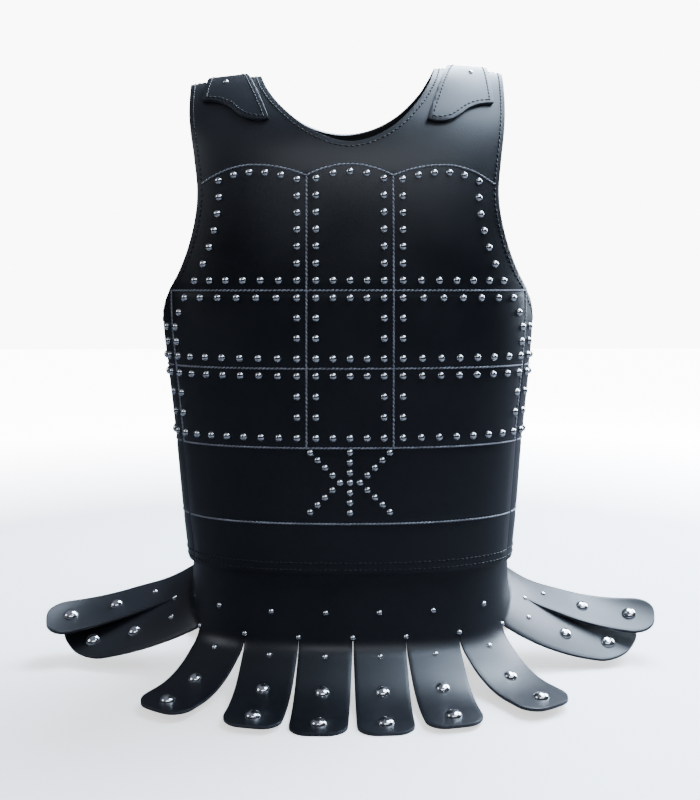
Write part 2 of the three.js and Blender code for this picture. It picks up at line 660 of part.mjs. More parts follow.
// The skirt. Pattern points: u is the length round from the middle of the front or the back,
// v the height on the band and, below the slit ends, the leather's length under them.
class Skirt {
  constructor(isBack) {
    this.isBack = isBack;
    this.girth = new Girth(169, isBack ? 90 : 96);
    const cornerU = FRONT_SLITS_X.map((x) => new Girth(169, 96).lengthAt(angleOfX(x, last(BAND_ROWS).halfWidth)));
    const wingEnd = [cornerU[0] - 2 * WING_STRIP_WIDTH, last(cornerU) + 2 * WING_STRIP_WIDTH];
    this.slits = isBack ? this.backSlits(wingEnd) : this.frontSlits(cornerU);
  }

  frontSlits(corners) {
    const wing = [1, 2].map((i) => i * WING_STRIP_WIDTH);
    return [
      ...wing.map((width) => corners[0] - width).reverse(),
      ...corners,
      ...wing.map((width) => last(corners) + width),
    ];
  }

  // The back band fills what the front band leaves. On the back, u runs towards -X.
  backSlits([leftEnd, rightEnd]) {
    const front = new Girth(169, 96);
    const ends = [rightEnd, leftEnd].map((u) => {
      const turned = 180 - Math.abs(front.angleAt(u));
      return -Math.sign(u) * (this.girth.lengthAt(turned) - 1);
    });
    return range(BACK_STRIPS.length + 1).map((i) => lerp(ends[0], ends[1], i / BACK_STRIPS.length));
  }

  isWing(strip) {
    return !this.isBack && (strip < 2 || strip > 7);
  }

  band(u, z) {
    const angle = this.girth.angleAt(u) + (this.isBack ? 180 : 0);
    const [across, ahead] = sectionPoint(angle);
    const i = z > BAND_ROWS[1].z ? 0 : 1;
    const part = (BAND_ROWS[i].z - z) / (BAND_ROWS[i].z - BAND_ROWS[i + 1].z);
    const column = (name) => lerp(BAND_ROWS[i][name], BAND_ROWS[i + 1][name], part);
    const depth = ahead < 0 ? column("back") : column("front");
    return new THREE.Vector3(across * column("halfWidth") + SKIRT_SHIFT_X, -ahead * depth, z);
  }

  // On the back the strips are counted from +X.
  layOf(strip) {
    return this.isBack ? BACK_STRIPS[BACK_STRIPS.length - 1 - strip] : FRONT_STRIPS[strip - 2];
  }

  direction(strip) {
    const angle = degToRad(this.layOf(strip).direction);
    return new THREE.Vector3(Math.sin(angle), (this.isBack ? 1 : -1) * Math.cos(angle), 0);
  }

  floorStrip(strip, u, v) {
    if (v >= SLIT_Z) return this.band(u, v);
    // The leather's inner face reaches the floor, so the outer face ends one thickness above it.
    const { out, down } = floorPath(SLIT_Z - v, SLIT_Z - SKIRT_THICKNESS - this.layOf(strip).lift);
    const point = this.band(u, SLIT_Z).addScaledVector(this.direction(strip), out);
    point.z -= down;
    return point;
  }

  wingStrip(strip, u, v) {
    const side = u < 0 ? -1 : 1;
    const corner = side < 0 ? this.slits[2] : this.slits[8];
    const part = Math.min(Math.max((side * (u - corner)) / (2 * WING_STRIP_WIDTH), 0), 1);
    const foldZ = lerp(WING_FOLD.frontZ, WING_FOLD.backZ, part);
    if (v >= foldZ) return this.band(u, v);
    const radius = lerp(WING_FOLD.frontRadius, WING_FOLD.backRadius, part);
    const lay = side < 0 ? WINGS.right : WINGS.left;
    const { out, down } = bendPath(foldZ - v, radius, lerp(lay.front, lay.back, part), lay.end);
    const ahead = degToRad(lay.ahead);
    const point = this.band(u, foldZ);
    point.add(new THREE.Vector3(side * out * Math.cos(ahead), -out * Math.sin(ahead), -down));
    const isUpper = strip === 0 || strip === 9;
    if (isUpper && v < SLIT_Z) {
      const below = SLIT_Z - v;
      point.z += WING_LAP.lift * smoothstep(below, 0, WING_LAP.over);
      point.y -= lay.swing * (below / STRIP.length) ** 2;
    }
    return point;
  }

  place(strip, u, v, out) {
    const isOnBand = v >= SLIT_Z;
    // A floor strip and a side strip share the points of the band between them.
    const owner = isOnBand && !this.isBack ? FLOOR_OWNERS[this.slits.indexOf(u)] ?? strip : strip;
    const surface = (du, dv) =>
      this.isWing(owner) ? this.wingStrip(owner, u + du, v + dv) : this.floorStrip(owner, u + du, v + dv);
    return movedOut(surface, out, isOnBand ? 0 : undefined);
  }

  middle(strip) {
    return (this.slits[strip] + this.slits[strip + 1]) / 2;
  }

  // Where a rivet sits below its slit end; the side strips are a little longer.
  distance(strip, rivet) {
    if (!this.isWing(strip)) return rivet.distance;
    const isLower = strip === 1 || strip === 8;
    return rivet.wingDistance - (isLower ? LOWER_WING_SHIFT : 0);
  }

  // A strip with its stretch of the band, as one flat piece.
  piece(strip) {
    const [left, right] = [this.slits[strip], this.slits[strip + 1]];
    const { tipRadius, slitGap } = STRIP;
    const length = this.isWing(strip) ? STRIP.wingLength : STRIP.length;
    const levels = this.isWing(strip) ? [...FOLD_LEVELS, ...WING_LEVELS] : [...BAND_LEVELS, ...FLOOR_LEVELS];
    const below = levels.filter((v) => v < SLIT_Z);
    const edge = (u, side) => {
      const isFolded = this.isWing(strip) && !(this.slits.indexOf(u) in FLOOR_OWNERS);
      const band = isFolded ? FOLD_LEVELS : BAND_LEVELS;
      return [...band.map((v) => ({ u, v })), ...below.map((v) => ({ u: u + (side * slitGap) / 2, v }))];
    };
    const tip = (u, side) =>
      range(4).map((i) => {
        const turn = degToRad(i * 30);
        return {
          u: u + side * (slitGap / 2 + tipRadius * (1 - Math.cos(turn))),
          v: SLIT_Z - length + tipRadius * (1 - Math.sin(turn)),
        };
      });
    const outline = [...edge(left, 1), ...tip(left, 1), ...tip(right, -1).reverse(), ...edge(right, -1).reverse()];
    const across = this.isWing(strip) ? 3 : 2;
    const fill = levels.slice(1).flatMap((v) =>
      range(across).map((i) => ({ u: lerp(left, right, (i + 1) / (across + 1)), v: v - 1e-3 })),
    );
    const middle = this.middle(strip);
    const studs = [{ ...STRIP_STUD, u: middle, v: SLIT_Z - this.distance(strip, STRIP_STUD) }];
    if (!this.isWing(strip)) studs.push({ ...BAND_STUD, u: middle, v: BAND_STUD.z });
    return { outline, fill, studs, place: (u, v, out) => this.place(strip, u, v, out) };
  }

  get stripCount() {
    return this.slits.length - 1;
  }

  geometry() {
    return leatherWall(range(this.stripCount).map((strip) => this.piece(strip)), SKIRT_THICKNESS);
  }
}

// Heights at which a strip's points lie, closer together where it bends
const BAND_LEVELS = [BAND_ROWS[0].z, BAND_ROWS[1].z, 94, 76, 65, SLIT_Z];
const FOLD_LEVELS = [BAND_ROWS[0].z, BAND_ROWS[1].z, 102, 94, 85, 76, 69, 62, SLIT_Z];
const FLOOR_LEVELS = [49, 43, 37, 31, 20, 8, -5, -17, -29, -41, -54];
const WING_LEVELS = [49, 42, 34, 18, 0, -18, -34, -48, -64];

function domeGeometry({ radius, height }) {
  const profile = [[0, 0], [1, 0], [0.85, 0.56], [0.45, 0.91], [0, 1]];
  const points = profile.map(([across, up]) => new THREE.Vector2(across * radius, up * height));
  return new THREE.LatheGeometry(points, 9).rotateX(Math.PI / 2);
}

function namedMesh(name, geometry, finish) {
  const mesh = new THREE.Mesh(geometry, new THREE.MeshStandardMaterial(finish));
  mesh.name = name;
  return mesh;
}

// A large domed rivet on each strip's slope and one near its tip, bent with the leather under them
function stripDomes(skirt, name) {
  return range(skirt.stripCount).flatMap((strip) =>
    Object.entries({ middle: MIDDLE_DOME, tip: TIP_DOME }).map(([place, dome]) => {
      const geometry = domeGeometry(dome);
      const { position } = geometry.attributes;
      const [middleU, middleV] = [skirt.middle(strip), SLIT_Z - skirt.distance(strip, dome)];
      const gap = skirt.isWing(strip) ? DOME_GAP.wing : DOME_GAP.floor;
      for (const i of range(position.count)) {
        const [across, along, up] = [position.getX(i), position.getY(i), position.getZ(i)];
        position.setXYZ(i, ...skirt.place(strip, middleU + across, middleV + along, gap + up));
      }
      return namedMesh(`${name}_${place}_dome_${strip + 1}`, geometry, NICKEL);
    }),
  );
}

// A patch that lies over a shoulder seam. Pattern points: u is x, v the length over the shoulder.
function patchGeometry(side) {
  const corners = (side < 0 ? PATCHES.right : PATCHES.left).map(({ x, down }) => ({ u: x, v: down }));
  const front = [
    ...alongLine(corners.slice(0, 2), PATCH_SPACING),
    ...alongCurve(corners.slice(1, -1), PATCH_SPACING / 1.5),
    ...alongLine(corners.slice(-2), PATCH_SPACING),
  ];
  const back = front.slice(1).map(({ u, v }) => ({ u, v: -v }));
  const flat = [...front, last(corners), ...back.reverse()];
  const outline = flat.map(({ u, v }) => ({ u: side * u, v: torso.crestRun - v }));
  if (side < 0) outline.reverse();
  const place = (u, v, out) => {
    const surface = (du, dv) => {
      const row = torso.rowOfRun(v + dv);
      const angle = angleOfX(u + du, curveAt(torso.halfWidth, row));
      return torso.face(row > torso.crest ? 180 - angle : angle, row);
    };
    return movedOut(surface, PATCH_GAP + PATCH_THICKNESS + out);
  };
  return leatherWall([{ outline, fill: fillPoints(outline, PATCH_SPACING), place }], PATCH_THICKNESS);
}

const frontSkirt = new Skirt(false);
const backSkirt = new Skirt(true);

const group = new THREE.Group();
group.add(
  namedMesh("front_panel", panelGeometry(false), LEATHER),
  namedMesh("back_panel", panelGeometry(true), LEATHER),
  namedMesh("front_skirt", frontSkirt.geometry(), LEATHER),
  namedMesh("back_skirt", backSkirt.geometry(), LEATHER),
  namedMesh("shoulder_patch_right", patchGeometry(-1), PATCH_LEATHER),
  namedMesh("shoulder_patch_left", patchGeometry(1), PATCH_LEATHER),
  ...stripDomes(frontSkirt, "front"),
  ...stripDomes(backSkirt, "back"),
);
group.position.set(-BOX_CENTRE.x, -BOX_CENTRE.y, 0);

export default group;
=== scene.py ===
"""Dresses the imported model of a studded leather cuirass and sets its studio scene.

Sizes are in millimetres in the part's own pattern, and to_frame() turns a point into the frame's metres.
"""

from __future__ import annotations

import logging
import math
from collections.abc import Callable, Iterable, Sequence
from dataclasses import dataclass, field
from enum import Enum
from functools import partial

import bmesh
import bpy
from mathutils import Matrix, Vector

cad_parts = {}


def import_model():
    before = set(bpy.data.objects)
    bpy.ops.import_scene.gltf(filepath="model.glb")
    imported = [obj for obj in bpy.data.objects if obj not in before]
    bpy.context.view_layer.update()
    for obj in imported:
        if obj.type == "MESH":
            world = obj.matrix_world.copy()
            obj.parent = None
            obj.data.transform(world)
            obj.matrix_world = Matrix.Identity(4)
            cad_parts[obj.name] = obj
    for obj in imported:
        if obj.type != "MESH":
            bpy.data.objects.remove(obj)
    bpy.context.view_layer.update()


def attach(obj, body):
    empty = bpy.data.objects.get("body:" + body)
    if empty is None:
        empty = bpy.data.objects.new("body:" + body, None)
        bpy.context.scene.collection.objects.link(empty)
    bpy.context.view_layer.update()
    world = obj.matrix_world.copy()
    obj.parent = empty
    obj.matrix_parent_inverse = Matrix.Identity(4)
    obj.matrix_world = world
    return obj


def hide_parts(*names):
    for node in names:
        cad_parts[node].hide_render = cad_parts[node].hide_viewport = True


log = logging.getLogger("cuirass")

BODY = "root"
MM = 0.001
BOX_CENTRE = Vector((3.5, -3.2, 0.0))

SUNK = -0.1  # how far a rivet's head sits in the leather, in millimetres

Flat = tuple[float, float]
Colour = tuple[float, float, float]
Placer = Callable[[float, float, float], Vector]


class Side(Enum):
    """Which panel or skirt a piece belongs to."""

    FRONT = "front"
    BACK = "back"


class Slot(str, Enum):
    """The record's material slots."""

    LEATHER = "leather"
    PATCH = "patch_leather"
    NICKEL = "nickel"
    PALE_THREAD = "pale_thread"
    DARK_THREAD = "dark_thread"


def to_frame(point: Vector) -> Vector:
    """Turn a point of the pattern's space, in millimetres, into the frame's metres."""
    return (point - BOX_CENTRE) * MM


def lerp(start: float, end: float, part: float) -> float:
    """Mix two numbers."""
    return start + (end - start) * part


def smoothstep(value: float, low: float, high: float) -> float:
    """Rise softly from 0 at low to 1 at high."""
    t = min(max((value - low) / (high - low), 0.0), 1.0)
    return t * t * (3 - 2 * t)


def curve_at(values: Sequence[float], row: float) -> float:
    """Read a smooth curve through a table's column at a fractional row.

    Args:
        values: the column.
        row: the row number, which may lie between two rows.

    Returns:
        The value there.
    """
    i = min(max(math.floor(row), 0), len(values) - 2)
    t = row - i
    before = values[i - 1] if i > 0 else 2 * values[i] - values[i + 1]
    after = values[i + 2] if i + 2 < len(values) else 2 * values[i + 1] - values[i]
    rise = (values[i + 1] - before) / 2
    fall = (after - values[i]) / 2
    blend = t * t * (3 - 2 * t)
    return lerp(values[i], values[i + 1], blend) + t * (1 - t) * ((1 - t) * rise - t * fall)


def solve(rising: Callable[[float], float], target: float, low: float, high: float) -> float:
    """Find where a rising function reaches a target between two values.

    Args:
        rising: the function.
        target: the value it has to reach.
        low: where the search starts.
        high: where the search ends.

    Returns:
        The place of the target.
    """
    for _ in range(40):
        middle = (low + high) / 2
        if rising(middle) < target:
            low = middle
        else:
            high = middle
    return (low + high) / 2


ROUNDNESS = 2.4


def section_point(angle: float) -> Flat:
    """Point of the unit section at an angle in degrees from the middle of the front: across, ahead.

    Args:
        angle: the angle in degrees.

    Returns:
        How far across and how far ahead the point lies.
    """
    s, c = math.sin(math.radians(angle)), math.cos(math.radians(angle))
    reach = (abs(s) ** ROUNDNESS + abs(c) ** ROUNDNESS) ** (-1 / ROUNDNESS)
    return reach * s, reach * c


def angle_of_x(x: float, half_width: float) -> float:
    """Angle at which the near side of a section of the given half width stands at x.

    Args:
        x: the place across.
        half_width: the section's half width.

    Returns:
        The angle in degrees.
    """
    across = min(abs(x) / half_width, 1.0)
    ahead = (1 - across**ROUNDNESS) ** (1 / ROUNDNESS)
    return math.copysign(math.degrees(math.atan2(across, ahead)), x)


class Girth:
    """Length round a section against the angle, so that flat patterns keep their sizes."""

    def __init__(self, half_width: float, depth: float) -> None:
        """Measure the section's lengths, degree by degree.

        Args:
            half_width: the section's half width.
            depth: the section's half depth.
        """
        self.lengths = [0.0]
        for angle in range(180):
            x0, y0 = section_point(angle)
            x1, y1 = section_point(angle + 1)
            step = math.hypot(half_width * (x1 - x0), depth * (y1 - y0))
            self.lengths.append(self.lengths[-1] + step)

    def length_at(self, angle: float) -> float:
        """Length round to an angle.

        Args:
            angle: the angle in degrees.

        Returns:
            The length, with the angle's sign.
        """
        i = min(math.floor(abs(angle)), 179)
        length = lerp(self.lengths[i], self.lengths[i + 1], abs(angle) - i)
        return math.copysign(length, angle) if angle else 0.0

    def angle_at(self, length: float) -> float:
        """Angle at a length round.

        Args:
            length: the length round.

        Returns:
            The angle in degrees, with its sign.
        """
        reach = abs(length)
        i = next((n for n, value in enumerate(self.lengths) if value > reach), 0) - 1
        i = min(max(i, 0), 179)
        part = (reach - self.lengths[i]) / (self.lengths[i + 1] - self.lengths[i])
        return math.copysign(i + part, length) if length else 0.0


def moved_out(surface: Callable[[float, float], Vector], out: float, back: float = 0.05) -> Vector:
    """Move a surface point out along its normal.

    Args:
        surface: gives the surface near the point, at a small (du, dv) from it.
        out: how far out, in millimetres.
        back: how far below the point the slope is read.

    Returns:
        The moved point.
    """
    step = 0.05
    across = surface(step, 0) - surface(-step, 0)
    along = surface(0, step) - surface(0, -back)
    return surface(0, 0) + across.cross(along).normalized() * out


def along_line(corners: Sequence[Flat], spacing: float) -> list[Flat]:
    """Evenly spaced points along straight lines, without the last corner.

    Args:
        corners: the corners of the lines.
        spacing: the distance between points.

    Returns:
        The points.
    """
    points: list[Flat] = []
    for start, end in zip(corners, corners[1:]):
        count = max(1, round(math.dist(start, end) / spacing))
        shares = [n / count for n in range(count)]
        points += [(lerp(start[0], end[0], share), lerp(start[1], end[1], share)) for share in shares]
    return points


def smooth_curve(points: Sequence[Flat], steps: int = 16) -> list[Flat]:
    """Dense points of a smooth curve through a few points, with its last point.

    Args:
        points: the points that the curve goes through.
        steps: how many steps each stretch has.

    Returns:
        The curve's points.
    """
    rows = [i + n / steps for i in range(len(points) - 1) for n in range(steps)] + [len(points) - 1.0]
    found = []
    for row in rows:
        i = min(math.floor(row), len(points) - 2)
        t = row - i
        ends = [points[max(i - 1, 0)], points[i], points[i + 1], points[min(i + 2, len(points) - 1)]]
        pair = []
        for c in (0, 1):
            p0, p1, p2, p3 = (p[c] for p in ends)
            v0, v1 = (p2 - p0) / 2, (p3 - p1) / 2
            cubic = 2 * p1 - 2 * p2 + v0 + v1
            square = -3 * p1 + 3 * p2 - 2 * v0 - v1
            pair.append(cubic * t**3 + square * t * t + v0 * t + p1)
        found.append((pair[0], pair[1]))
    return found


def even(points: Sequence[Flat], spacing: float) -> list[Flat]:
    """Evenly spaced points along a dense line, with both its ends.

    Args:
        points: the dense line.
        spacing: the distance between points.

    Returns:
        The points.
    """
    lengths = [0.0]
    for a, b in zip(points, points[1:]):
        lengths.append(lengths[-1] + math.dist(a, b))
    count = max(1, round(lengths[-1] / spacing))
    found = []
    i = 0
    for n in range(count + 1):
        at = lengths[-1] * n / count
        while i < len(points) - 2 and lengths[i + 1] < at:
            i += 1
        part = (at - lengths[i]) / max(lengths[i + 1] - lengths[i], 1e-9)
        (u0, v0), (u1, v1) = points[i], points[i + 1]
        found.append((lerp(u0, u1, part), lerp(v0, v1, part)))
    return found


def inset_line(points: Sequence[Flat], inset: float) -> list[Flat]:
    """A line moved to its own left by an even distance.

    Args:
        points: the line.
        inset: how far it moves.

    Returns:
        The moved line.
    """
    moved = []
    for i, (u, v) in enumerate(points):
        (u0, v0), (u1, v1) = points[max(i - 1, 0)], points[min(i + 1, len(points) - 1)]
        length = max(math.hypot(u1 - u0, v1 - v0), 1e-9)
        moved.append((u - inset * (v1 - v0) / length, v + inset * (u1 - u0) / length))
    return moved


@dataclass
class TorsoForm:
    """The torso's outer face: up the front, over the shoulders and down the back."""

    z: tuple[float, ...] = (115, 165, 240, 320, 372, 430, 490, 535, 570, 599, 622, 636.5, 640)
    half_width: tuple[float, ...] = (175, 180, 187, 195.5, 200, 200, 199, 198, 198, 198, 198, 198, 198)
    front: tuple[float, ...] = (97, 99, 101.5, 104.5, 106, 105, 100, 92, 79, 60, 38, 17, 0)
    back: tuple[float, ...] = (90, 91, 94, 99, 102, 104, 102, 95, 83, 64, 41, 19, 0)
    side_seam_angle: float = 64.5
    lean_level: float = 370
    lean_slope: float = 0.0098
    shoulder_rise: float = 6
    shoulder_fall: float = 10.3
    shoulder_inner: float = 94
    shoulder_outer: float = 169
    shoulder_levels: Flat = (540, 635)
    seam_gap: float = 0.3
    pattern_section: Flat = (190, 102)

    def __post_init__(self) -> None:
        """Join the front's and the back's rows into one loop."""
        self.crest = len(self.z) - 1
        self.end = 2 * self.crest
        self.loop_z = [*self.z, *self.z[-2::-1]]
        self.loop_width = [*self.half_width, *self.half_width[-2::-1]]
        self.loop_depth = [*self.front, *(-depth for depth in self.back[-2::-1])]
        self.girth = Girth(*self.pattern_section)
        self.run = [0.0]
        for i in range(self.end):
            rise = self.loop_z[i + 1] - self.loop_z[i]
            depth = self.loop_depth[i + 1] - self.loop_depth[i]
            self.run.append(self.run[-1] + math.hypot(rise, depth))
        self.crest_run = self.run[self.crest]

    def row_of_run(self, v: float) -> float:
        """Row at a length up and over.

        Args:
            v: the length from the front's lower edge.

        Returns:
            The row.
        """
        i = next((n for n, value in enumerate(self.run) if value > v), 0) - 1
        i = self.end - 1 if v >= self.run[-1] else max(i, 0)
        return i + (v - self.run[i]) / (self.run[i + 1] - self.run[i])

    def run_of_row(self, row: float) -> float:
        """Length up and over at a row."""
        i = min(math.floor(row), self.end - 1)
        return lerp(self.run[i], self.run[i + 1], row - i)

    def row_of_z(self, z: float, side: Side) -> float:
        """Row at a height on the front or the back."""
        row = solve(lambda value: curve_at(self.loop_z, value), z, 0, self.crest)
        return self.end - row if side is Side.BACK else row

    def face(self, angle: float, row: float) -> Vector:
        """Point of the outer face at an angle from the middle of the front, on a row of the loop.

        Args:
            angle: the angle in degrees.
            row: the row, which may lie between two rows.

        Returns:
            The point.
        """
        across, ahead = section_point(angle)
        is_own_side = (row > self.crest) == (ahead < 0)
        z = curve_at(self.loop_z, row)
        lean = self.lean_slope * (self.lean_level - z) * across * across
        x = across * curve_at(self.loop_width, row) + lean
        y = -abs(ahead) * curve_at(self.loop_depth, row if is_own_side else self.end - row)
        part = x / self.shoulder_outer
        fall = self.shoulder_fall * part * part
        rise = self.shoulder_rise * math.sin(part * math.pi / 2)
        return Vector((x, y, z + (rise - fall) * smoothstep(z, *self.shoulder_levels)))

    def place(self, side: Side, u: float, v: float, out: float) -> Vector:
        """A pattern point of a panel in space, out from the leather's outer face.

        Args:
            side: the front or the back panel.
            u: the length round from the panel's middle.
            v: the length up and over.
            out: the height over the leather.

        Returns:
            The point.
        """

        def surface(du: float, dv: float) -> Vector:
            """Face near the point."""
            angle = self.girth.angle_at(u + du)
            return self.face(180 - angle if side is Side.BACK else angle, self.row_of_run(v + dv))

        return moved_out(surface, out)

    def pattern(self, side: Side, x: float, z: float) -> Flat:
        """Pattern point that shows at x and z on the front or the back."""
        row = self.row_of_z(z, side)
        return self.girth.length_at(angle_of_x(x, curve_at(self.loop_width, row))), self.run_of_row(row)

    def seam_angle(self, side: Side) -> float:
        """Angle of the side seam from the middle of a panel."""
        return 180 - self.side_seam_angle if side is Side.BACK else self.side_seam_angle


@dataclass
class PlateRow:
    """One row of plates: the heights of its sewn lines and the studs in a front side plate."""

    top: float | None
    bottom: float
    row_studs: Flat
    column_studs: Flat


@dataclass
class PanelPattern:
    """Flat pattern of the front or back panel: its outline, sewn lines and studs."""

    torso: TorsoForm
    side: Side
    neck_drop: dict[Side, float] = field(default_factory=lambda: {Side.FRONT: 131, Side.BACK: 99.5})
    neck_roundness: dict[Side, float] = field(default_factory=lambda: {Side.FRONT: 1.85, Side.BACK: 1.95})
    underarm_seam_z: float = 402
    edge_spacing: float = 4
    line_heights: tuple[float, ...] = (399.5, 321.5, 242, 166)
    column_half_width: float = 43.5
    stud_inset: float = 9.5
    stud_above: float = 10
    stud_below: float = 7.5
    stud_pitch: float = 17.6
    middle_row_studs: Flat = (5, 5)
    arch_valley: float = 515
    arch_crest: float = 526.5
    arch_end: Flat = (152, 507)
    arch_crest_x: float = 98
    arch_sewn_to: float = 150.5
    stitch_inset: float = 5.5
    seam_line_inset: float = 4
    line_end: float = 2
    hem_rows: Flat = (4.5, 12.0)
    shoulder_row_end: float = 7
    underarm_half_width: float = 200
    drawn_depth: float = 0.75
    drawn_width: float = 3.6
    wave_height: float = 0.55
    even_edge: float = 12

    armhole_rows = (
        (416, 177.5), (440, 166.5), (470, 158), (500, 155), (532, 158.5), (565, 163.5), (600, 167)
    )
    underarm_rows = ((66.5, 398), (74, 381), (82, 373.5), (90, 371), (98, 373.5), (106, 382))
    plate_rows = (
        PlateRow(None, 399.5, (6, 7), (5, 5)),
        PlateRow(399.5, 321.5, (7, 8), (2, 3)),
        PlateRow(321.5, 242, (8, 8), (2, 2)),
    )

    def __post_init__(self) -> None:
        """Work out the curve of the armhole."""
        torso = self.torso
        seam_half_width = section_point(torso.side_seam_angle)[0] * self.underarm_half_width
        rows = [(seam_half_width + 10, self.underarm_seam_z - 16)]
        rows += [(half_width, z) for z, half_width in self.armhole_rows]
        rows.append((torso.shoulder_outer, torso.z[-1]))
        self.armhole_curve = smooth_curve(rows)
        self.seam_u = torso.girth.length_at(torso.seam_angle(self.side)) - torso.seam_gap / 2
        self.v_sign = 1 if self.side is Side.BACK else -1

    def armhole_x(self, z: float) -> float:
        """Half width of the panel at the armhole's height.

        Args:
            z: the height.

        Returns:
            The half width.
        """
        for (x0, z0), (x1, z1) in zip(self.armhole_curve, self.armhole_curve[1:]):
            if z0 <= z <= z1:
                return lerp(x0, x1, (z - z0) / (z1 - z0))
        return self.armhole_curve[-1][0]

    def v_of_z(self, z: float) -> float:
        """Pattern height of a height."""
        return self.torso.run_of_row(self.torso.row_of_z(z, self.side))

    def armhole(self) -> list[Flat]:
        """The armhole's edge on +u, from the underarm to the shoulder.

        Returns:
            The edge's pattern points.
        """
        torso = self.torso
        lower = self.underarm_rows[::-1] if self.side is Side.BACK else ()
        points = [(self.seam_u, self.v_of_z(self.underarm_seam_z))]
        points += [(torso.girth.length_at(angle), self.v_of_z(z)) for angle, z in lower]
        points += [torso.pattern(self.side, half_width, z) for z, half_width in self.armhole_rows]
        points.append(self.at_shoulder(torso.shoulder_outer))
        return smooth_curve(points)

    def at_shoulder(self, x: float) -> Flat:
        """Point of the shoulder seam at x.

        Args:
            x: the place across.

        Returns:
            The pattern point.
        """
        torso = self.torso
        v = torso.crest_run + self.v_sign * torso.seam_gap / 2
        return torso.girth.length_at(angle_of_x(x, torso.half_width[-1])), v

    def neck(self, count: int = 48) -> list[Flat]:
        """The neck's edge on +u, from the shoulder to the middle.

        Args:
            count: how many steps the edge has.

        Returns:
            The edge's pattern points.
        """
        torso = self.torso
        power = 2 / self.neck_roundness[self.side]
        top = torso.crest_run + self.v_sign * torso.seam_gap / 2
        points = []
        for i in range(count + 1):
            turn = math.radians(90 * i / count)
            x = torso.shoulder_inner * max(math.cos(turn), 0) ** power
            v = top + self.v_sign * self.neck_drop[self.side] * math.sin(turn) ** power
            half_width = curve_at(torso.loop_width, torso.row_of_run(v))
            points.append((torso.girth.length_at(angle_of_x(x, half_width)), v))
        return points

    def half_outline(self) -> list[Flat]:
        """Outline on +u, from the middle of the lower edge round to the middle of the neck.

        Returns:
            The outline's pattern points.
        """
        lower_v = self.torso.run[-1] if self.side is Side.BACK else 0.0
        underarm = (self.seam_u, self.v_of_z(self.underarm_seam_z))
        outer = self.at_shoulder(self.torso.shoulder_outer)
        return [
            *along_line([(0, lower_v), (self.seam_u, lower_v), underarm], self.edge_spacing),
            *even(self.armhole(), self.edge_spacing)[:-1],
            *along_line([outer, self.at_shoulder(self.torso.shoulder_inner)], self.edge_spacing),
            *even(self.neck(), self.edge_spacing),
        ]

    def outline(self) -> list[Flat]:
        """The whole outline, anticlockwise seen from outside.

        Returns:
            The outline's pattern points.
        """
        half = self.half_outline()
        whole = half + [(-u, v) for u, v in half[-2:0:-1]]
        return whole[::-1] if self.side is Side.BACK else whole

    def column_u(self, z: float) -> float:
        """Pattern place of the sewn upright lines beside the middle plates."""
        return self.torso.pattern(self.side, self.column_half_width, z)[0]

    def arch_z(self, x: float) -> float:
        """Height of the arched line over the plates.

        Args:
            x: the place across.

        Returns:
            The height.
        """
        across, rise = abs(x), self.arch_crest - self.arch_valley
        if across < self.column_half_width:
            return self.arch_valley + rise * (1 - (across / self.column_half_width) ** 2)
        crest_x, (end_x, end_z) = self.arch_crest_x, self.arch_end
        if across < crest_x:
            end_x, end_z = self.column_half_width, self.arch_valley
        return self.arch_crest - (self.arch_crest - end_z) * ((across - crest_x) / (end_x - crest_x)) ** 2

    def pale_lines(self) -> list[list[Flat]]:
        """The pale sewn lines round the plates, down the side seams and round the belly.

        Returns:
            One list of pattern points for each line.
        """
        lines = []
        for z in self.line_heights:
            v = self.v_of_z(z)
            below = [u for u, edge_v in self.armhole() if self.v_sign * (edge_v - v) > 0]
            end = (below[-1] if below else self.seam_u) - self.line_end
            lines.append([(-end, v), (end, v)])
        heights = [lerp(self.arch_valley, self.line_heights[2], i / 40) for i in range(41)]
        seam_v = (self.v_of_z(self.line_heights[0]), self.v_of_z(self.line_heights[2]))
        for side in (-1, 1):
            lines.append([(side * self.column_u(z), self.v_of_z(z)) for z in heights])
            if self.side is Side.FRONT:
                lines.append([(side * (self.seam_u - self.seam_line_inset), v) for v in seam_v])
            for low, high in ((0, self.column_half_width), (self.column_half_width, self.arch_sewn_to)):
                xs = [side * lerp(low, high, i / 24) for i in range(25)]
                lines.append([self.torso.pattern(self.side, x, self.arch_z(x)) for x in xs])
        return lines

    def dark_lines(self) -> list[list[Flat]]:
        """The black sewn rows beside the neck, the armholes, the shoulder seams and the hem.

        Returns:
            One list of pattern points for each row.
        """
        lower_v = self.torso.run[-1] if self.side is Side.BACK else 0.0
        inset = -self.v_sign * self.stitch_inset
        neck_row = inset_line(self.neck(), inset)[1:]
        armhole_row = inset_line(self.armhole(), inset)
        lines = [[(-u, v) for u, v in neck_row][:-1] + neck_row[::-1]]
        shoulder_v = self.at_shoulder(0)[1] + self.v_sign * self.stitch_inset
        for side in (-1, 1):
            lines.append([(side * u, v) for u, v in armhole_row])
            inner, outer = self.torso.shoulder_inner, self.torso.shoulder_outer
            shoulder = (inner + self.shoulder_row_end, outer - self.shoulder_row_end)
            ends = [self.at_shoulder(x)[0] for x in shoulder]
            lines.append([(side * u, shoulder_v) for u in ends])
        for inset_v in self.hem_rows:
            v = lower_v - self.v_sign * inset_v
            lines.append([(-self.seam_u + self.line_end, v), (self.seam_u - self.line_end, v)])
        return lines

    def studs(self) -> list[Flat]:
        """Studs inside the border of every plate.

        Returns:
            The studs' pattern points.
        """
        margin, slant_top, slant_end = 23, 395, 365
        seam_u = self.torso.girth.length_at(self.torso.seam_angle(self.side)) - self.stud_inset
        found: list[Flat] = []

        def u_of_x(x: float, z: float) -> float:
            """Pattern place of x at a height."""
            return self.torso.pattern(self.side, x, z)[0]

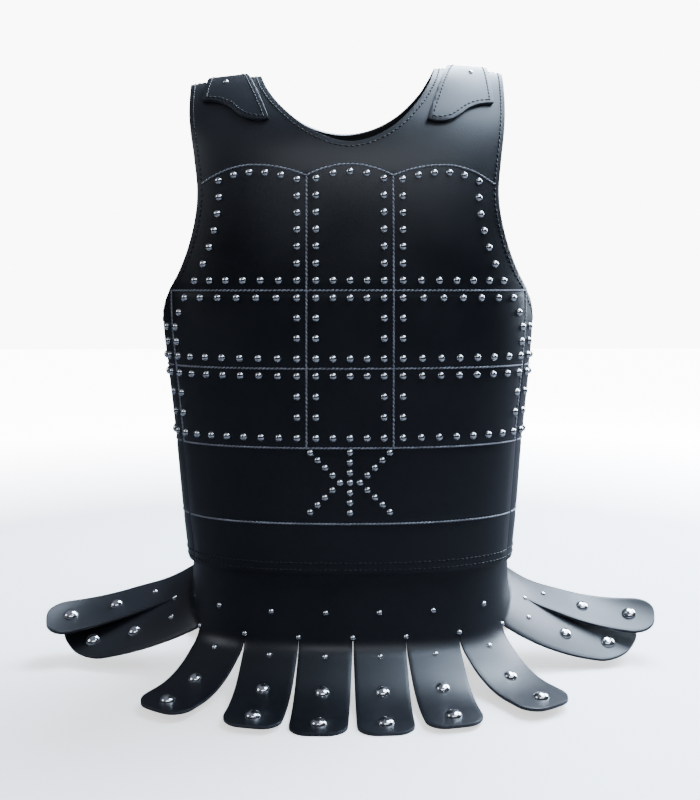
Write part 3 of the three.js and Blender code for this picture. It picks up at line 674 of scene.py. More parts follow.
        def outer_u(z: float) -> float:
            """Outer column of studs, beside the armhole and then down the seam.

            Args:
                z: the height.

            Returns:
                The column's pattern place.
            """
            height = max(z, slant_top)
            beside = u_of_x(self.armhole_x(height) - margin, height)
            return lerp(seam_u, beside, min(max((z - slant_end) / (slant_top - slant_end), 0), 1))

        def arch_top(u: float) -> float:
            """Height of the arch over a stud.

            Args:
                u: the stud's pattern place.

            Returns:
                The height.
            """
            row = self.torso.row_of_z(self.arch_valley, self.side)
            across = section_point(self.torso.girth.angle_at(u))[0]
            return self.arch_z(across * curve_at(self.torso.loop_width, row)) - self.stud_below

        def border(
            sign: int,
            inner_at: Callable[[float], float],
            outer_at: Callable[[float], float],
            top_at: Callable[[float], float],
            bottom_z: float,
            row_studs: Flat | None,
            column_studs: Flat,
        ) -> None:
            """Rows at the top and bottom of a plate, then columns between them.

            Args:
                sign: 1, or -1 for a plate on -u.
                inner_at: pattern place of the inner column at a height.
                outer_at: pattern place of the outer column at a height.
                top_at: height of the top row at a pattern place.
                bottom_z: height of the bottom row.
                row_studs: studs in the top and bottom row, or None to space them evenly.
                column_studs: studs in the inner and outer column, without the corners.
            """
            top_outer = top_at(outer_at(top_at(outer_at(bottom_z))))
            rows = ((top_at, top_outer), (lambda _: bottom_z, bottom_z))
            for row, (z_at, corner_z) in enumerate(rows):
                start, end = inner_at(corner_z), outer_at(corner_z)
                steps = row_studs[row] - 1 if row_studs else round((end - start) / self.stud_pitch)
                for i in range(steps + 1):
                    u = lerp(start, end, i / steps)
                    found.append((sign * u, self.v_of_z(z_at(u))))
            for column, edge_at in enumerate((inner_at, outer_at)):
                top_z = top_at(edge_at(top_outer))
                steps = column_studs[column] + 1
                for i in range(1, steps):
                    z = lerp(bottom_z, top_z, i / steps)
                    found.append((sign * edge_at(z), self.v_of_z(z)))

        inner_x = self.column_half_width + self.stud_inset
        middle_x = self.column_half_width - self.stud_inset
        for plate in self.plate_rows:
            top = plate.top
            top_at = arch_top if top is None else (lambda _, top=top: top - self.stud_below)
            bottom_z = plate.bottom + self.stud_above
            rows = None if self.side is Side.BACK else plate.row_studs
            for sign in (-1, 1):
                inner_u = partial(u_of_x, inner_x)
                border(sign, inner_u, outer_u, top_at, bottom_z, rows, plate.column_studs)
            columns = (plate.column_studs[0], plate.column_studs[0])
            edges = (partial(u_of_x, -middle_x), partial(u_of_x, middle_x))
            border(1, *edges, top_at, bottom_z, self.middle_row_studs, columns)
        return found

    def star(self) -> list[Flat]:
        """Studs of the six-ray star on the belly band.

        Returns:
            The studs' pattern points.
        """
        middle_z, pitch, apex_x, step = 207.5, 10.1, 10, 7.45
        places = [(0.0, middle_z + (i - 3) * pitch) for i in range(7)]
        for side in (-1, 1):
            arms = range(-4, 5)
            places += [(side * (apex_x + abs(arm) * step), middle_z + arm * step) for arm in arms]
        return [self.torso.pattern(self.side, x, z) for x, z in places]

    def relief(self, u: float, v: float) -> float:
        """How far the leather stands out near a point: drawn in along the sewn lines, and a little uneven.

        Args:
            u: the length round.
            v: the length up and over.

        Returns:
            The height over the even form.
        """
        inside = smoothstep(self.v_of_side(v), 0, self.even_edge)
        lines = [abs(v - line_v) for line_v in self.line_vs]
        if self.v_low < v * -self.v_sign < self.v_high:
            lines.append(abs(abs(u) - self.column_mid_u))
        lines.append(max(self.seam_u - self.seam_line_inset - abs(u), 0.0))
        drawn = -self.drawn_depth * math.exp(-((min(lines) / self.drawn_width) ** 2))
        round_wave = math.sin(u / 37 + 1.3 * math.sin(v / 61))
        upward_wave = math.sin(v / 47 + 0.8 * math.sin(u / 53 + 1))
        return (drawn + self.wave_height * round_wave * upward_wave) * inside

    def v_of_side(self, v: float) -> float:
        """Length from the nearest end of the panel, at the hem or the shoulder seam.

        Args:
            v: the length up and over.

        Returns:
            The length.
        """
        torso = self.torso
        low, high = (torso.crest_run, torso.run[-1]) if self.side is Side.BACK else (0, torso.crest_run)
        return min(v - low, high - v)

    def prepare_relief(self) -> None:
        """Work out the pattern places of the sewn lines once."""
        self.line_vs = [self.v_of_z(z) for z in self.line_heights]
        ends = sorted(-self.v_sign * self.v_of_z(z) for z in (self.arch_valley, self.line_heights[2]))
        self.v_low, self.v_high = ends
        self.column_mid_u = self.column_u(380)


@dataclass
class FloorLay:
    """Which way a floor strip goes, in degrees from straight ahead or back, and how high it ends."""

    direction: float
    lift: float


@dataclass
class WingLay:
    """How the side strips of one side hang: slopes in degrees, turn to the front and swing."""

    front: float
    back: float
    end: float
    ahead: float
    swing: float


EASE_LENGTH = 260


def bend_path(length: float, radius: float, slope: float, end_slope: float | None = None) -> Flat:
    """How far out and down a bent strip has gone after a length of leather below its fold.

    Args:
        length: the length of leather.
        radius: the fold's radius.
        slope: the slope under the fold, in degrees.
        end_slope: the slope that it eases into, if any.

    Returns:
        How far out and how far down.
    """
    turn = math.radians(90 - slope)
    angle = min(length / radius, turn)
    straight = max(length - radius * turn, 0)
    eased = slope if end_slope is None else end_slope
    middle = math.radians(lerp(slope, eased, straight / EASE_LENGTH))
    out = radius * (1 - math.cos(angle)) + straight * math.cos(middle)
    return out, radius * math.sin(angle) + straight * math.sin(middle)


def floor_path(length: float, fold_z: float) -> Flat:
    """The same for a strip that ends level, given the height of its fold over that level.

    Args:
        length: the length of leather.
        fold_z: the fold's height over the level end.

    Returns:
        How far out and how far down.
    """
    radius, slope, foot_radius = 24, 35, 100
    tilt = math.radians(slope)
    bend_length = radius * math.radians(90 - slope)
    bend = bend_path(bend_length, radius, slope)
    foot_down = foot_radius * (1 - math.cos(tilt))
    foot_start = bend_length + (fold_z - bend[1] - foot_down) / math.sin(tilt)
    if length <= foot_start:
        return bend_path(length, radius, slope)
    start = bend_path(foot_start, radius, slope)
    angle = min((length - foot_start) / foot_radius, tilt)
    level = max(length - foot_start - foot_radius * tilt, 0)
    out = start[0] + foot_radius * (math.sin(tilt) - math.sin(tilt - angle)) + level
    return out, start[1] + foot_radius * (math.cos(tilt - angle) - math.cos(tilt))


@dataclass
class SkirtForm:
    """The front or back skirt: a band and its strips. v is the height on the band, then leather length."""

    side: Side
    slit_z: float = 55
    shift_x: float = 2.5
    wing_width: float = 50
    thickness: float = 3
    length: float = 130
    wing_length: float = 135
    tip_radius: float = 18
    slit_gap: float = 0.4
    wing_lift: float = 3.4
    wing_lap_over: float = 50
    lower_wing_shift: float = 4
    band_stud_z: float = 76
    pattern_half_width: float = 169
    front_depth: float = 96
    back_depth: float = 90
    hidden_seam: float = 1

    band_rows = ((126, 171.3, 92.6, 85.4), (112, 170.2, 92.2, 85.2), (55, 171, 99, 93))
    slits_x = (-158.5, -109, -54, 0.5, 54, 109, 158.5)
    lays = {
        Side.FRONT: ((-26.5, 8), (-7.5, 5), (-4, 0), (1, 0), (6.5, 4), (28.5, 8)),
        Side.BACK: ((40, 0), (17, 0), (5, 0), (-5, 0), (-17, 0), (-40, 0)),
    }
    wings = {-1: WingLay(26.5, 35, 6, -5.5, 41), 1: WingLay(33.5, 43, 1, -2, 35)}
    fold_front_radius, fold_back_radius, fold_front_z, fold_back_z = 10, 18, 55, 113
    band_levels = (126, 119, 112, 105, 98.5, 92, 86, 80, 74, 68, 64, 61, 58, 55)

    def __post_init__(self) -> None:
        """Work out the slits."""
        self.is_back = self.side is Side.BACK
        front = Girth(self.pattern_half_width, self.front_depth)
        self.girth = Girth(self.pattern_half_width, self.back_depth) if self.is_back else front
        corners = [front.length_at(angle_of_x(x, self.band_rows[-1][1])) for x in self.slits_x]
        wings = [self.wing_width, 2 * self.wing_width]
        if not self.is_back:
            left = [corners[0] - width for width in reversed(wings)]
            self.slits = left + corners + [corners[-1] + width for width in wings]
            return
        ends = []
        for u in (corners[-1] + wings[1], corners[0] - wings[1]):
            turned = 180 - abs(front.angle_at(u))
            ends.append(-math.copysign(self.girth.length_at(turned) - self.hidden_seam, u))
        self.slits = [lerp(ends[0], ends[1], i / 6) for i in range(7)]

    @property
    def top_z(self) -> float:
        """Height of the band's hidden top."""
        return self.band_rows[0][0]

    @property
    def strip_count(self) -> int:
        """Number of strips."""
        return len(self.slits) - 1

    def is_wing(self, strip: int) -> bool:
        """Whether a strip folds out at the side."""
        return not self.is_back and (strip < 2 or strip > 7)

    def band(self, u: float, z: float) -> Vector:
        """Point of the band's outer face.

        Args:
            u: the length round.
            z: the height.

        Returns:
            The point.
        """
        across, ahead = section_point(self.girth.angle_at(u) + (180 if self.is_back else 0))
        upper, lower = self.band_rows[:2] if z > self.band_rows[1][0] else self.band_rows[1:]
        part = (upper[0] - z) / (upper[0] - lower[0])
        half_width = lerp(upper[1], lower[1], part)
        depth = lerp(upper[3], lower[3], part) if ahead < 0 else lerp(upper[2], lower[2], part)
        return Vector((across * half_width + self.shift_x, -ahead * depth, z))

    def floor_strip(self, strip: int, u: float, v: float) -> Vector:
        """Point of a strip that reaches the floor.

        Args:
            strip: the strip's number.
            u: the length round.
            v: the pattern height.

        Returns:
            The point.
        """
        if v >= self.slit_z:
            return self.band(u, v)
        lay = FloorLay(*self.lays[self.side][strip if self.is_back else strip - 2])
        out, down = floor_path(self.slit_z - v, self.slit_z - self.thickness - lay.lift)
        angle = math.radians(lay.direction)
        ahead = Vector((math.sin(angle), (1 if self.is_back else -1) * math.cos(angle), 0))
        return self.band(u, self.slit_z) + ahead * out - Vector((0, 0, down))

    def wing_strip(self, strip: int, u: float, v: float) -> Vector:
        """Point of a strip that folds out at the side.

        Args:
            strip: the strip's number.
            u: the length round.
            v: the pattern height.

        Returns:
            The point.
        """
        side = -1 if u < 0 else 1
        corner = self.slits[2] if side < 0 else self.slits[8]
        part = min(max(side * (u - corner) / (2 * self.wing_width), 0), 1)
        fold_z = lerp(self.fold_front_z, self.fold_back_z, part)
        if v >= fold_z:
            return self.band(u, v)
        lay = self.wings[side]
        radius = lerp(self.fold_front_radius, self.fold_back_radius, part)
        out, down = bend_path(fold_z - v, radius, lerp(lay.front, lay.back, part), lay.end)
        ahead = math.radians(lay.ahead)
        point = self.band(u, fold_z) + Vector((side * out * math.cos(ahead), -out * math.sin(ahead), -down))
        if strip in (0, 9) and v < self.slit_z:
            below = self.slit_z - v
            point.z += self.wing_lift * smoothstep(below, 0, self.wing_lap_over)
            point.y -= lay.swing * (below / self.length) ** 2
        return point

    def place(self, strip: int, u: float, v: float, out: float) -> Vector:
        """A pattern point of a strip and its stretch of the band in space."""
        form = self.wing_strip if self.is_wing(strip) else self.floor_strip
        return moved_out(lambda du, dv: form(strip, u + du, v + dv), out, 0 if v >= self.slit_z else 0.05)

    def middle(self, strip: int) -> float:
        """Pattern place of a strip's middle line."""
        return (self.slits[strip] + self.slits[strip + 1]) / 2

    def strip_length(self, strip: int) -> float:
        """Length of a strip below its slits."""
        return self.wing_length if self.is_wing(strip) else self.length

    def rivet_v(self, strip: int, distance: float, wing_distance: float) -> float:
        """Pattern height of a rivet, given how far below the slit it sits on a floor or a side strip.

        Args:
            strip: the strip's number.
            distance: how far below the slit on a floor strip.
            wing_distance: how far below it on a side strip.

        Returns:
            The pattern height.
        """
        if not self.is_wing(strip):
            return self.slit_z - distance
        return self.slit_z - wing_distance + (self.lower_wing_shift if strip in (1, 8) else 0)


def finished_object(
    bm: bmesh.types.BMesh, name: str, slot: Slot, materials: Iterable[bpy.types.Material]
) -> bpy.types.Object:
    """Turn a bmesh into an object that rides on the body.

    Args:
        bm: the mesh, in the frame's metres. It is freed.
        name: the piece's name.
        slot: the record's slot that its finish belongs to; not used.
        materials: its materials, in slot order.

    Returns:
        The object.
    """
    mesh = bpy.data.meshes.new(name)
    bm.to_mesh(mesh)
    bm.free()
    for polygon in mesh.polygons:
        polygon.use_smooth = True
    piece = bpy.data.objects.new(name, mesh)
    bpy.context.scene.collection.objects.link(piece)
    for material in materials:
        mesh.materials.append(material)
    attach(piece, BODY)
    log.info("%s: %d faces", name, len(mesh.polygons))
    return piece


def cut_sheet(outline: Sequence[Flat], spacing: float) -> bmesh.types.BMesh:
    """A flat sheet of a given outline, cut into a grid of small faces.

    Args:
        outline: its outline, anticlockwise.
        spacing: the size of the faces.

    Returns:
        The bmesh, flat, in pattern millimetres.
    """
    bm = bmesh.new()
    bm.faces.new([bm.verts.new((u, v, 0)) for u, v in outline])
    for axis in (0, 1):
        values = [point[axis] for point in outline]
        low, high = min(values), max(values)
        steps = math.ceil((high - low) / spacing)
        normal = Vector((1, 0, 0)) if axis == 0 else Vector((0, 1, 0))
        for i in range(1, steps):
            at = normal * lerp(low, high, i / steps)
            bmesh.ops.bisect_plane(
                bm, geom=[*bm.verts, *bm.edges, *bm.faces], dist=0.35, plane_co=at, plane_no=normal
            )
    return bm


def mapped_grid(
    bm: bmesh.types.BMesh, columns: int, rows: int, place: Callable[[float, float], Vector]
) -> None:
    """Add a grid to a bmesh and move its points to a surface given by shares across and along it.

    Args:
        bm: the bmesh.
        columns: how many faces across.
        rows: how many faces along.
        place: the surface.
    """
    grid = bmesh.ops.create_grid(bm, x_segments=columns, y_segments=rows, size=0.5)
    for vert in grid["verts"]:
        vert.co = place(vert.co.x + 0.5, vert.co.y + 0.5)


def give_thickness(piece: bpy.types.Object, thickness: float, edge: float) -> None:
    """Give a leather sheet its wall, inwards, and round its cut edges.

    Args:
        piece: the sheet, with its outer, flesh and edge materials.
        thickness: the leather's thickness in millimetres.
        edge: the width of the rounding in millimetres.
    """
    wall = piece.modifiers.new("wall", "SOLIDIFY")
    wall.thickness = thickness * MM
    wall.offset = -1
    wall.use_even_offset = True
    wall.material_offset = 1
    wall.material_offset_rim = 2
    bevel = piece.modifiers.new("edges", "BEVEL")
    bevel.width = edge * MM
    bevel.segments = 2
    bevel.limit_method = "ANGLE"
    bevel.angle_limit = math.radians(50)
    bevel.use_clamp_overlap = True
    bevel.harden_normals = False


def shoelace(outline: Sequence[Flat]) -> float:
    """Area of an outline."""
    ring = zip(outline, [*outline[1:], outline[0]])
    return abs(sum(u0 * v1 - u1 * v0 for (u0, v0), (u1, v1) in ring)) / 2


@dataclass(frozen=True)
class DomedRivet:
    """A domed rivet head: radius and height in millimetres, and how finely it is turned."""

    radius: float
    height: float
    segments: int = 12
    rings: int = 3

    def template(self, bm: bmesh.types.BMesh) -> list[bmesh.types.BMVert]:
        """Make one head at the origin of a bmesh and return its points.

        Args:
            bm: an empty bmesh.

        Returns:
            The head's points.
        """
        made = bmesh.ops.create_uvsphere(bm, u_segments=self.segments, v_segments=2 * self.rings, radius=1)
        verts = made["verts"]
        edges = {edge for vert in verts for edge in vert.link_edges}
        faces = {face for vert in verts for face in vert.link_faces}
        bmesh.ops.bisect_plane(
            bm,
            geom=[*verts, *edges, *faces],
            dist=1e-4,
            plane_co=(0, 0, 0),
            plane_no=(0, 0, -1),
            clear_outer=True,
        )
        rim = [edge for edge in bm.edges if edge.is_boundary]
        bmesh.ops.holes_fill(bm, edges=rim, sides=0)
        for edge in rim:
            edge.smooth = False
        bmesh.ops.recalc_face_normals(bm, faces=bm.faces[:])
        scale = Vector((self.radius * MM, self.radius * MM, self.height * MM))
        bmesh.ops.scale(bm, vec=scale, verts=bm.verts[:])
        return bm.verts[:]


def place_matrix(place: Placer, u: float, v: float, out: float, turn: float = 0.0) -> Matrix:
    """Matrix that stands a small piece on a surface.

    Args:
        place: the surface.
        u: pattern place across.
        v: pattern place along.
        out: height over the leather in millimetres.
        turn: angle in the pattern from +u to the piece's own X, in radians.

    Returns:
        The matrix, in the frame's metres, with Z along the surface's normal.
    """
    step = 0.4
    du, dv = math.cos(turn) * step, math.sin(turn) * step
    middle = place(u, v, out)
    along = (place(u + du, v + dv, out) - place(u - du, v - dv, out)).normalized()
    normal = (place(u, v, out + 1) - middle).normalized()
    side = normal.cross(along).normalized()
    along = side.cross(normal)
    rotation = Matrix((along, side, normal)).transposed().to_4x4()
    return Matrix.Translation(to_frame(middle)) @ rotation


def scatter(
    template: Callable[[bmesh.types.BMesh], Sequence[bmesh.types.BMVert]], places: Sequence[Matrix]
) -> bmesh.types.BMesh:
    """Copy one small piece to many places.

    Args:
        template: makes the piece at the origin of a bmesh.
        places: one matrix for each copy.

    Returns:
        A bmesh of all the copies.
    """
    bm = bmesh.new()
    template(bm)
    source = [*bm.verts, *bm.edges, *bm.faces]
    own = bm.verts[:]
    for matrix in places:
        copy = bmesh.ops.duplicate(bm, geom=source)["geom"]
        verts = [item for item in copy if isinstance(item, bmesh.types.BMVert)]
        bmesh.ops.transform(bm, matrix=matrix, verts=verts)
    bmesh.ops.delete(bm, geom=own, context="VERTS")
    return bm


@dataclass(frozen=True)
class Stitch:
    """One stitch of a sewn row, in millimetres. slant turns it off the row, in degrees."""

    length: float
    width: float
    height: float
    pitch: float
    slant: float = 0.0

    def template(self, bm: bmesh.types.BMesh) -> list[bmesh.types.BMVert]:
        """Make one stitch at the origin of a bmesh and return its points.

        Args:
            bm: an empty bmesh.

        Returns:
            The stitch's points.
        """
        bmesh.ops.create_uvsphere(bm, u_segments=6, v_segments=6, radius=0.5)
        bmesh.ops.rotate(bm, cent=(0, 0, 0), matrix=Matrix.Rotation(math.pi / 2, 3, "Y"), verts=bm.verts[:])
        for vert in bm.verts:
            vert.co.x = math.copysign(abs(vert.co.x * 2) ** 1.4 / 2, vert.co.x)
        scale = Vector((self.length * MM, self.width * MM, 2 * self.height * MM))
        bmesh.ops.scale(bm, vec=scale, verts=bm.verts[:])
        return bm.verts[:]

    def along(
        self, place: Placer, line: Sequence[Flat], lift: Callable[[float, float], float]
    ) -> list[Matrix]:
        """Places of the stitches along a line of the pattern.

        Args:
            place: the surface.
            line: the line's pattern points.
            lift: gives the height over the surface.

        Returns:
            One matrix for each stitch.
        """
        points = even(even(line, 2.0), self.pitch) if len(line) < 3 else even(line, self.pitch)
        found = []
        for (u0, v0), (u1, v1) in zip(points, points[1:]):
            u, v = (u0 + u1) / 2, (v0 + v1) / 2
            turn = math.atan2(v1 - v0, u1 - u0) + math.radians(self.slant)
            found.append(place_matrix(place, u, v, lift(u, v), turn))
        return found


PALE_STITCH = Stitch(length=5.0, width=2.0, height=1.1, pitch=4.2, slant=15)
DARK_STITCH = Stitch(length=4.6, width=1.8, height=0.9, pitch=5.4)


def new_material(name: str) -> tuple[bpy.types.Material, bpy.types.NodeTree, bpy.types.Node]:
    """Make a node material and return it, its tree and its Principled shader.

    Args:
        name: the material's name.

    Returns:
        The material, its node tree and its shader.
    """
    material = bpy.data.materials.new(name)
    material.use_nodes = True
    tree = material.node_tree
    return material, tree, tree.nodes["Principled BSDF"]


def effect_group(name: str, inputs: dict[str, float], outputs: Sequence[str]) -> bpy.types.NodeTree:
    """Start a shader node group with number inputs and number outputs and a vector input.

    Args:
        name: the group's name.
        inputs: the number inputs and their values.
        outputs: the outputs' names.

    Returns:
        The group.
    """
    group = bpy.data.node_groups.new(name, "ShaderNodeTree")
    group.interface.new_socket("Vector", in_out="INPUT", socket_type="NodeSocketVector")
    for label, value in inputs.items():
        socket = group.interface.new_socket(label, in_out="INPUT", socket_type="NodeSocketFloat")
        socket.default_value = value
    for label in outputs:
        group.interface.new_socket(label, in_out="OUTPUT", socket_type="NodeSocketFloat")
    group.nodes.new("NodeGroupInput")
    group.nodes.new("NodeGroupOutput")
    return group


def math_node(tree: bpy.types.NodeTree, operation: str, *values: object) -> bpy.types.NodeSocket:
    """Add a Math node. Each value is a socket or a number.

    Args:
        tree: the node tree.
        operation: what it does.
        *values: its inputs, in order.

    Returns:
        Its output socket.
    """
    node = tree.nodes.new("ShaderNodeMath")
    node.operation = operation
    for socket, value in zip(node.inputs, values):
        if isinstance(value, bpy.types.NodeSocket):
            tree.links.new(value, socket)
        else:
            socket.default_value = value
    return node.outputs[0]


def noise_node(
    tree: bpy.types.NodeTree, vector: bpy.types.NodeSocket, scale: float, detail: float
) -> bpy.types.NodeSocket:
    """Add a Noise texture and return its value.

    Args:
        tree: the node tree.
        vector: where its coordinates come from.
        scale: its scale.
        detail: its detail.

    Returns:
        Its output socket.
    """
    node = tree.nodes.new("ShaderNodeTexNoise")
    node.inputs["Scale"].default_value = scale
    node.inputs["Detail"].default_value = detail
    tree.links.new(vector, node.inputs["Vector"])
    return node.outputs["Fac"]


class Effects:
    """The shader node groups that the finishes share."""

    def __init__(self) -> None:
        """Build the groups once."""
        self.grain = self.build_grain()
        self.wear = self.build_wear()

    @staticmethod
    def build_grain() -> bpy.types.NodeTree:
        """Pebbled leather grain with fine pores: a height.

        Returns:
            The group.
        """
        group = effect_group("leather grain", {"Scale": 900.0, "Pores": 0.5}, ("Height",))
        source, sink = group.nodes["Group Input"], group.nodes["Group Output"]
        cells = group.nodes.new("ShaderNodeTexVoronoi")
        cells.feature = "SMOOTH_F1"
        cells.inputs["Smoothness"].default_value = 0.6
        group.links.new(source.outputs["Vector"], cells.inputs["Vector"])
        group.links.new(source.outputs["Scale"], cells.inputs["Scale"])
        fine = group.nodes.new("ShaderNodeTexNoise")
        fine.inputs["Detail"].default_value = 3
        group.links.new(source.outputs["Vector"], fine.inputs["Vector"])
        group.links.new(math_node(group, "MULTIPLY", source.outputs["Scale"], 2.3), fine.inputs["Scale"])
        pores = math_node(group, "MULTIPLY", fine.outputs["Fac"], source.outputs["Pores"])
        height = math_node(group, "SUBTRACT", pores, cells.outputs["Distance"])
        group.links.new(height, sink.inputs["Height"])
        return group

    @staticmethod
    def build_wear() -> bpy.types.NodeTree:
        """Broad handling marks and fine dust: one mask each.

        Returns:
            The group.
        """
        group = effect_group("handling wear", {"Scale": 14.0, "Contrast": 2.0}, ("Rubbed", "Dust"))
        source, sink = group.nodes["Group Input"], group.nodes["Group Output"]
        broad = group.nodes.new("ShaderNodeTexNoise")
        broad.inputs["Detail"].default_value = 5
        group.links.new(source.outputs["Vector"], broad.inputs["Vector"])
        group.links.new(source.outputs["Scale"], broad.inputs["Scale"])
        centred = math_node(group, "SUBTRACT", broad.outputs["Fac"], 0.5)
        spread = math_node(group, "MULTIPLY", centred, source.outputs["Contrast"])
        rubbed = math_node(group, "ADD", spread, 0.5)
        rubbed.node.use_clamp = True
        group.links.new(rubbed, sink.inputs["Rubbed"])
        specks = noise_node(group, source.outputs["Vector"], 650, 2)
        dust = math_node(group, "MULTIPLY", math_node(group, "SUBTRACT", specks, 0.62), 6)
        dust.node.use_clamp = True
        group.links.new(math_node(group, "MULTIPLY", dust, rubbed), sink.inputs["Dust"])
        return group

    @staticmethod
    def use(tree: bpy.types.NodeTree, group: bpy.types.NodeTree, **values: float) -> bpy.types.Node:
        """Place a group in a material, reading Object coordinates, with its own values.

        Args:
            tree: the material's tree.
            group: the group.
            **values: its number inputs.

        Returns:
            Its node.
        """
        node = tree.nodes.new("ShaderNodeGroup")
        node.node_tree = group
        coordinates = tree.nodes.new("ShaderNodeTexCoord")
        tree.links.new(coordinates.outputs["Object"], node.inputs["Vector"])
        for label, value in values.items():
            node.inputs[label].default_value = value
        return node


def mix_colours(
    tree: bpy.types.NodeTree, mask: bpy.types.NodeSocket, low: Colour, high: Colour
) -> bpy.types.NodeSocket:
    """Mix two colours by a mask and return the colour.

    Args:
        tree: the node tree.
        mask: the mask.
        low: the colour at 0.
        high: the colour at 1.

    Returns:
        The output socket.
    """
    node = tree.nodes.new("ShaderNodeMix")
    node.data_type = "RGBA"
    tree.links.new(mask, node.inputs["Factor"])
    node.inputs["A"].default_value = (*low, 1)
    node.inputs["B"].default_value = (*high, 1)
    return node.outputs["Result"]


@dataclass(frozen=True)
class LeatherFinish:
    """Dyed and waxed leather."""

    name: str
    deep: Colour
    rubbed: Colour
    smooth: float
    rough: float
    grain_scale: float
    grain_depth: float
    coat: float = 0.0

    def build(self, effects: Effects) -> bpy.types.Material:
        """Make this finish's material.

        Args:
            effects: the shared node groups.

        Returns:
            The material.
        """
        material, tree, shader = new_material(self.name)
        wear = effects.use(tree, effects.wear, Scale=11, Contrast=2.2)
        grain = effects.use(tree, effects.grain, Scale=self.grain_scale, Pores=0.6)
        colour = mix_colours(tree, wear.outputs["Rubbed"], self.deep, self.rubbed)
        tree.links.new(colour, shader.inputs["Base Color"])
        span = math_node(tree, "MULTIPLY", wear.outputs["Rubbed"], self.rough - self.smooth)
        dusty = math_node(tree, "MULTIPLY", wear.outputs["Dust"], 0.12)
        rough = math_node(tree, "ADD", math_node(tree, "ADD", span, self.smooth), dusty)
        tree.links.new(rough, shader.inputs["Roughness"])
        bump = tree.nodes.new("ShaderNodeBump")
        bump.inputs["Strength"].default_value = 0.45
        bump.inputs["Distance"].default_value = self.grain_depth * MM
        tree.links.new(grain.outputs["Height"], bump.inputs["Height"])
        tree.links.new(bump.outputs["Normal"], shader.inputs["Normal"])
        shader.inputs["Specular IOR Level"].default_value = 0.5
        shader.inputs["Coat Weight"].default_value = self.coat
        shader.inputs["Coat Roughness"].default_value = 0.35
        return material


@dataclass(frozen=True)
class MetalFinish:
    """Polished plated metal with light smudges."""

    name: str
    colour: Colour
    smooth: float
    rough: float

    def build(self, effects: Effects) -> bpy.types.Material:
        """Make this finish's material.

        Args:
            effects: the shared node groups.

        Returns:
            The material.
        """
        material, tree, shader = new_material(self.name)
        wear = effects.use(tree, effects.wear, Scale=160, Contrast=3)
        span = math_node(tree, "MULTIPLY", wear.outputs["Rubbed"], self.rough - self.smooth)
        tree.links.new(math_node(tree, "ADD", span, self.smooth), shader.inputs["Roughness"])
        darker = tuple(0.8 * value for value in self.colour)
        colour = mix_colours(tree, wear.outputs["Rubbed"], self.colour, darker)
        tree.links.new(colour, shader.inputs["Base Color"])
        shader.inputs["Metallic"].default_value = 1
        return material


@dataclass(frozen=True)
class ThreadFinish:
    """Twisted sewing thread."""

    name: str
    light: Colour
    dark: Colour
    roughness: float

    def build(self, effects: Effects) -> bpy.types.Material:
        """Make this finish's material.

        Args:
            effects: the shared node groups.

        Returns:
            The material.
        """
        material, tree, shader = new_material(self.name)
        wear = effects.use(tree, effects.wear, Scale=60, Contrast=2.5)
        colour = mix_colours(tree, wear.outputs["Rubbed"], self.dark, self.light)
        tree.links.new(colour, shader.inputs["Base Color"])
        grain = effects.use(tree, effects.grain, Scale=2600, Pores=0.4)
        bump = tree.nodes.new("ShaderNodeBump")
        bump.inputs["Strength"].default_value = 0.5
        bump.inputs["Distance"].default_value = 0.2 * MM
        tree.links.new(grain.outputs["Height"], bump.inputs["Height"])
        tree.links.new(bump.outputs["Normal"], shader.inputs["Normal"])
        shader.inputs["Roughness"].default_value = self.roughness
        return material


class Finishes:
    """Every material of the cuirass."""

    def __init__(self) -> None:
        """Build the materials once."""
        effects = Effects()
        self.leather = LeatherFinish(
            "black leather", (0.003, 0.0034, 0.0055), (0.007, 0.008, 0.0115), 0.33, 0.45, 700, 0.12
        ).build(effects)
        self.patch = LeatherFinish(
            "patch leather", (0.006, 0.0068, 0.009), (0.012, 0.0135, 0.018), 0.28, 0.38, 900, 0.09
        ).build(effects)
        self.flesh = LeatherFinish(
            "flesh side", (0.012, 0.011, 0.011), (0.026, 0.024, 0.023), 0.75, 0.95, 1500, 0.3
        ).build(effects)
        # The cut edge's colour is set far above the black leather's. Part of it is the edge's own lighter
        # tone, and part is a painted highlight for the bright line along the neck, armhole and patch edges.
        self.edge = LeatherFinish(
            "painted-highlight cut edge", (0.03, 0.031, 0.037), (0.085, 0.088, 0.10), 0.2, 0.4, 1800, 0.08
        ).build(effects)
        self.nickel = MetalFinish("polished nickel", (0.82, 0.83, 0.85), 0.06, 0.16).build(effects)
        self.pale_thread = ThreadFinish(
            "pale thread", (0.36, 0.37, 0.42), (0.2, 0.205, 0.235), 0.55
        ).build(effects)
        self.dark_thread = ThreadFinish(
            "dark thread", (0.008, 0.0085, 0.013), (0.003, 0.003, 0.005), 0.5
        ).build(effects)

    @property
    def sheet(self) -> tuple[bpy.types.Material, ...]:
        """Outer face, flesh side and cut edge of a leather sheet; the cut edge's colour carries a painted
        highlight.
        """
        return self.leather, self.flesh, self.edge


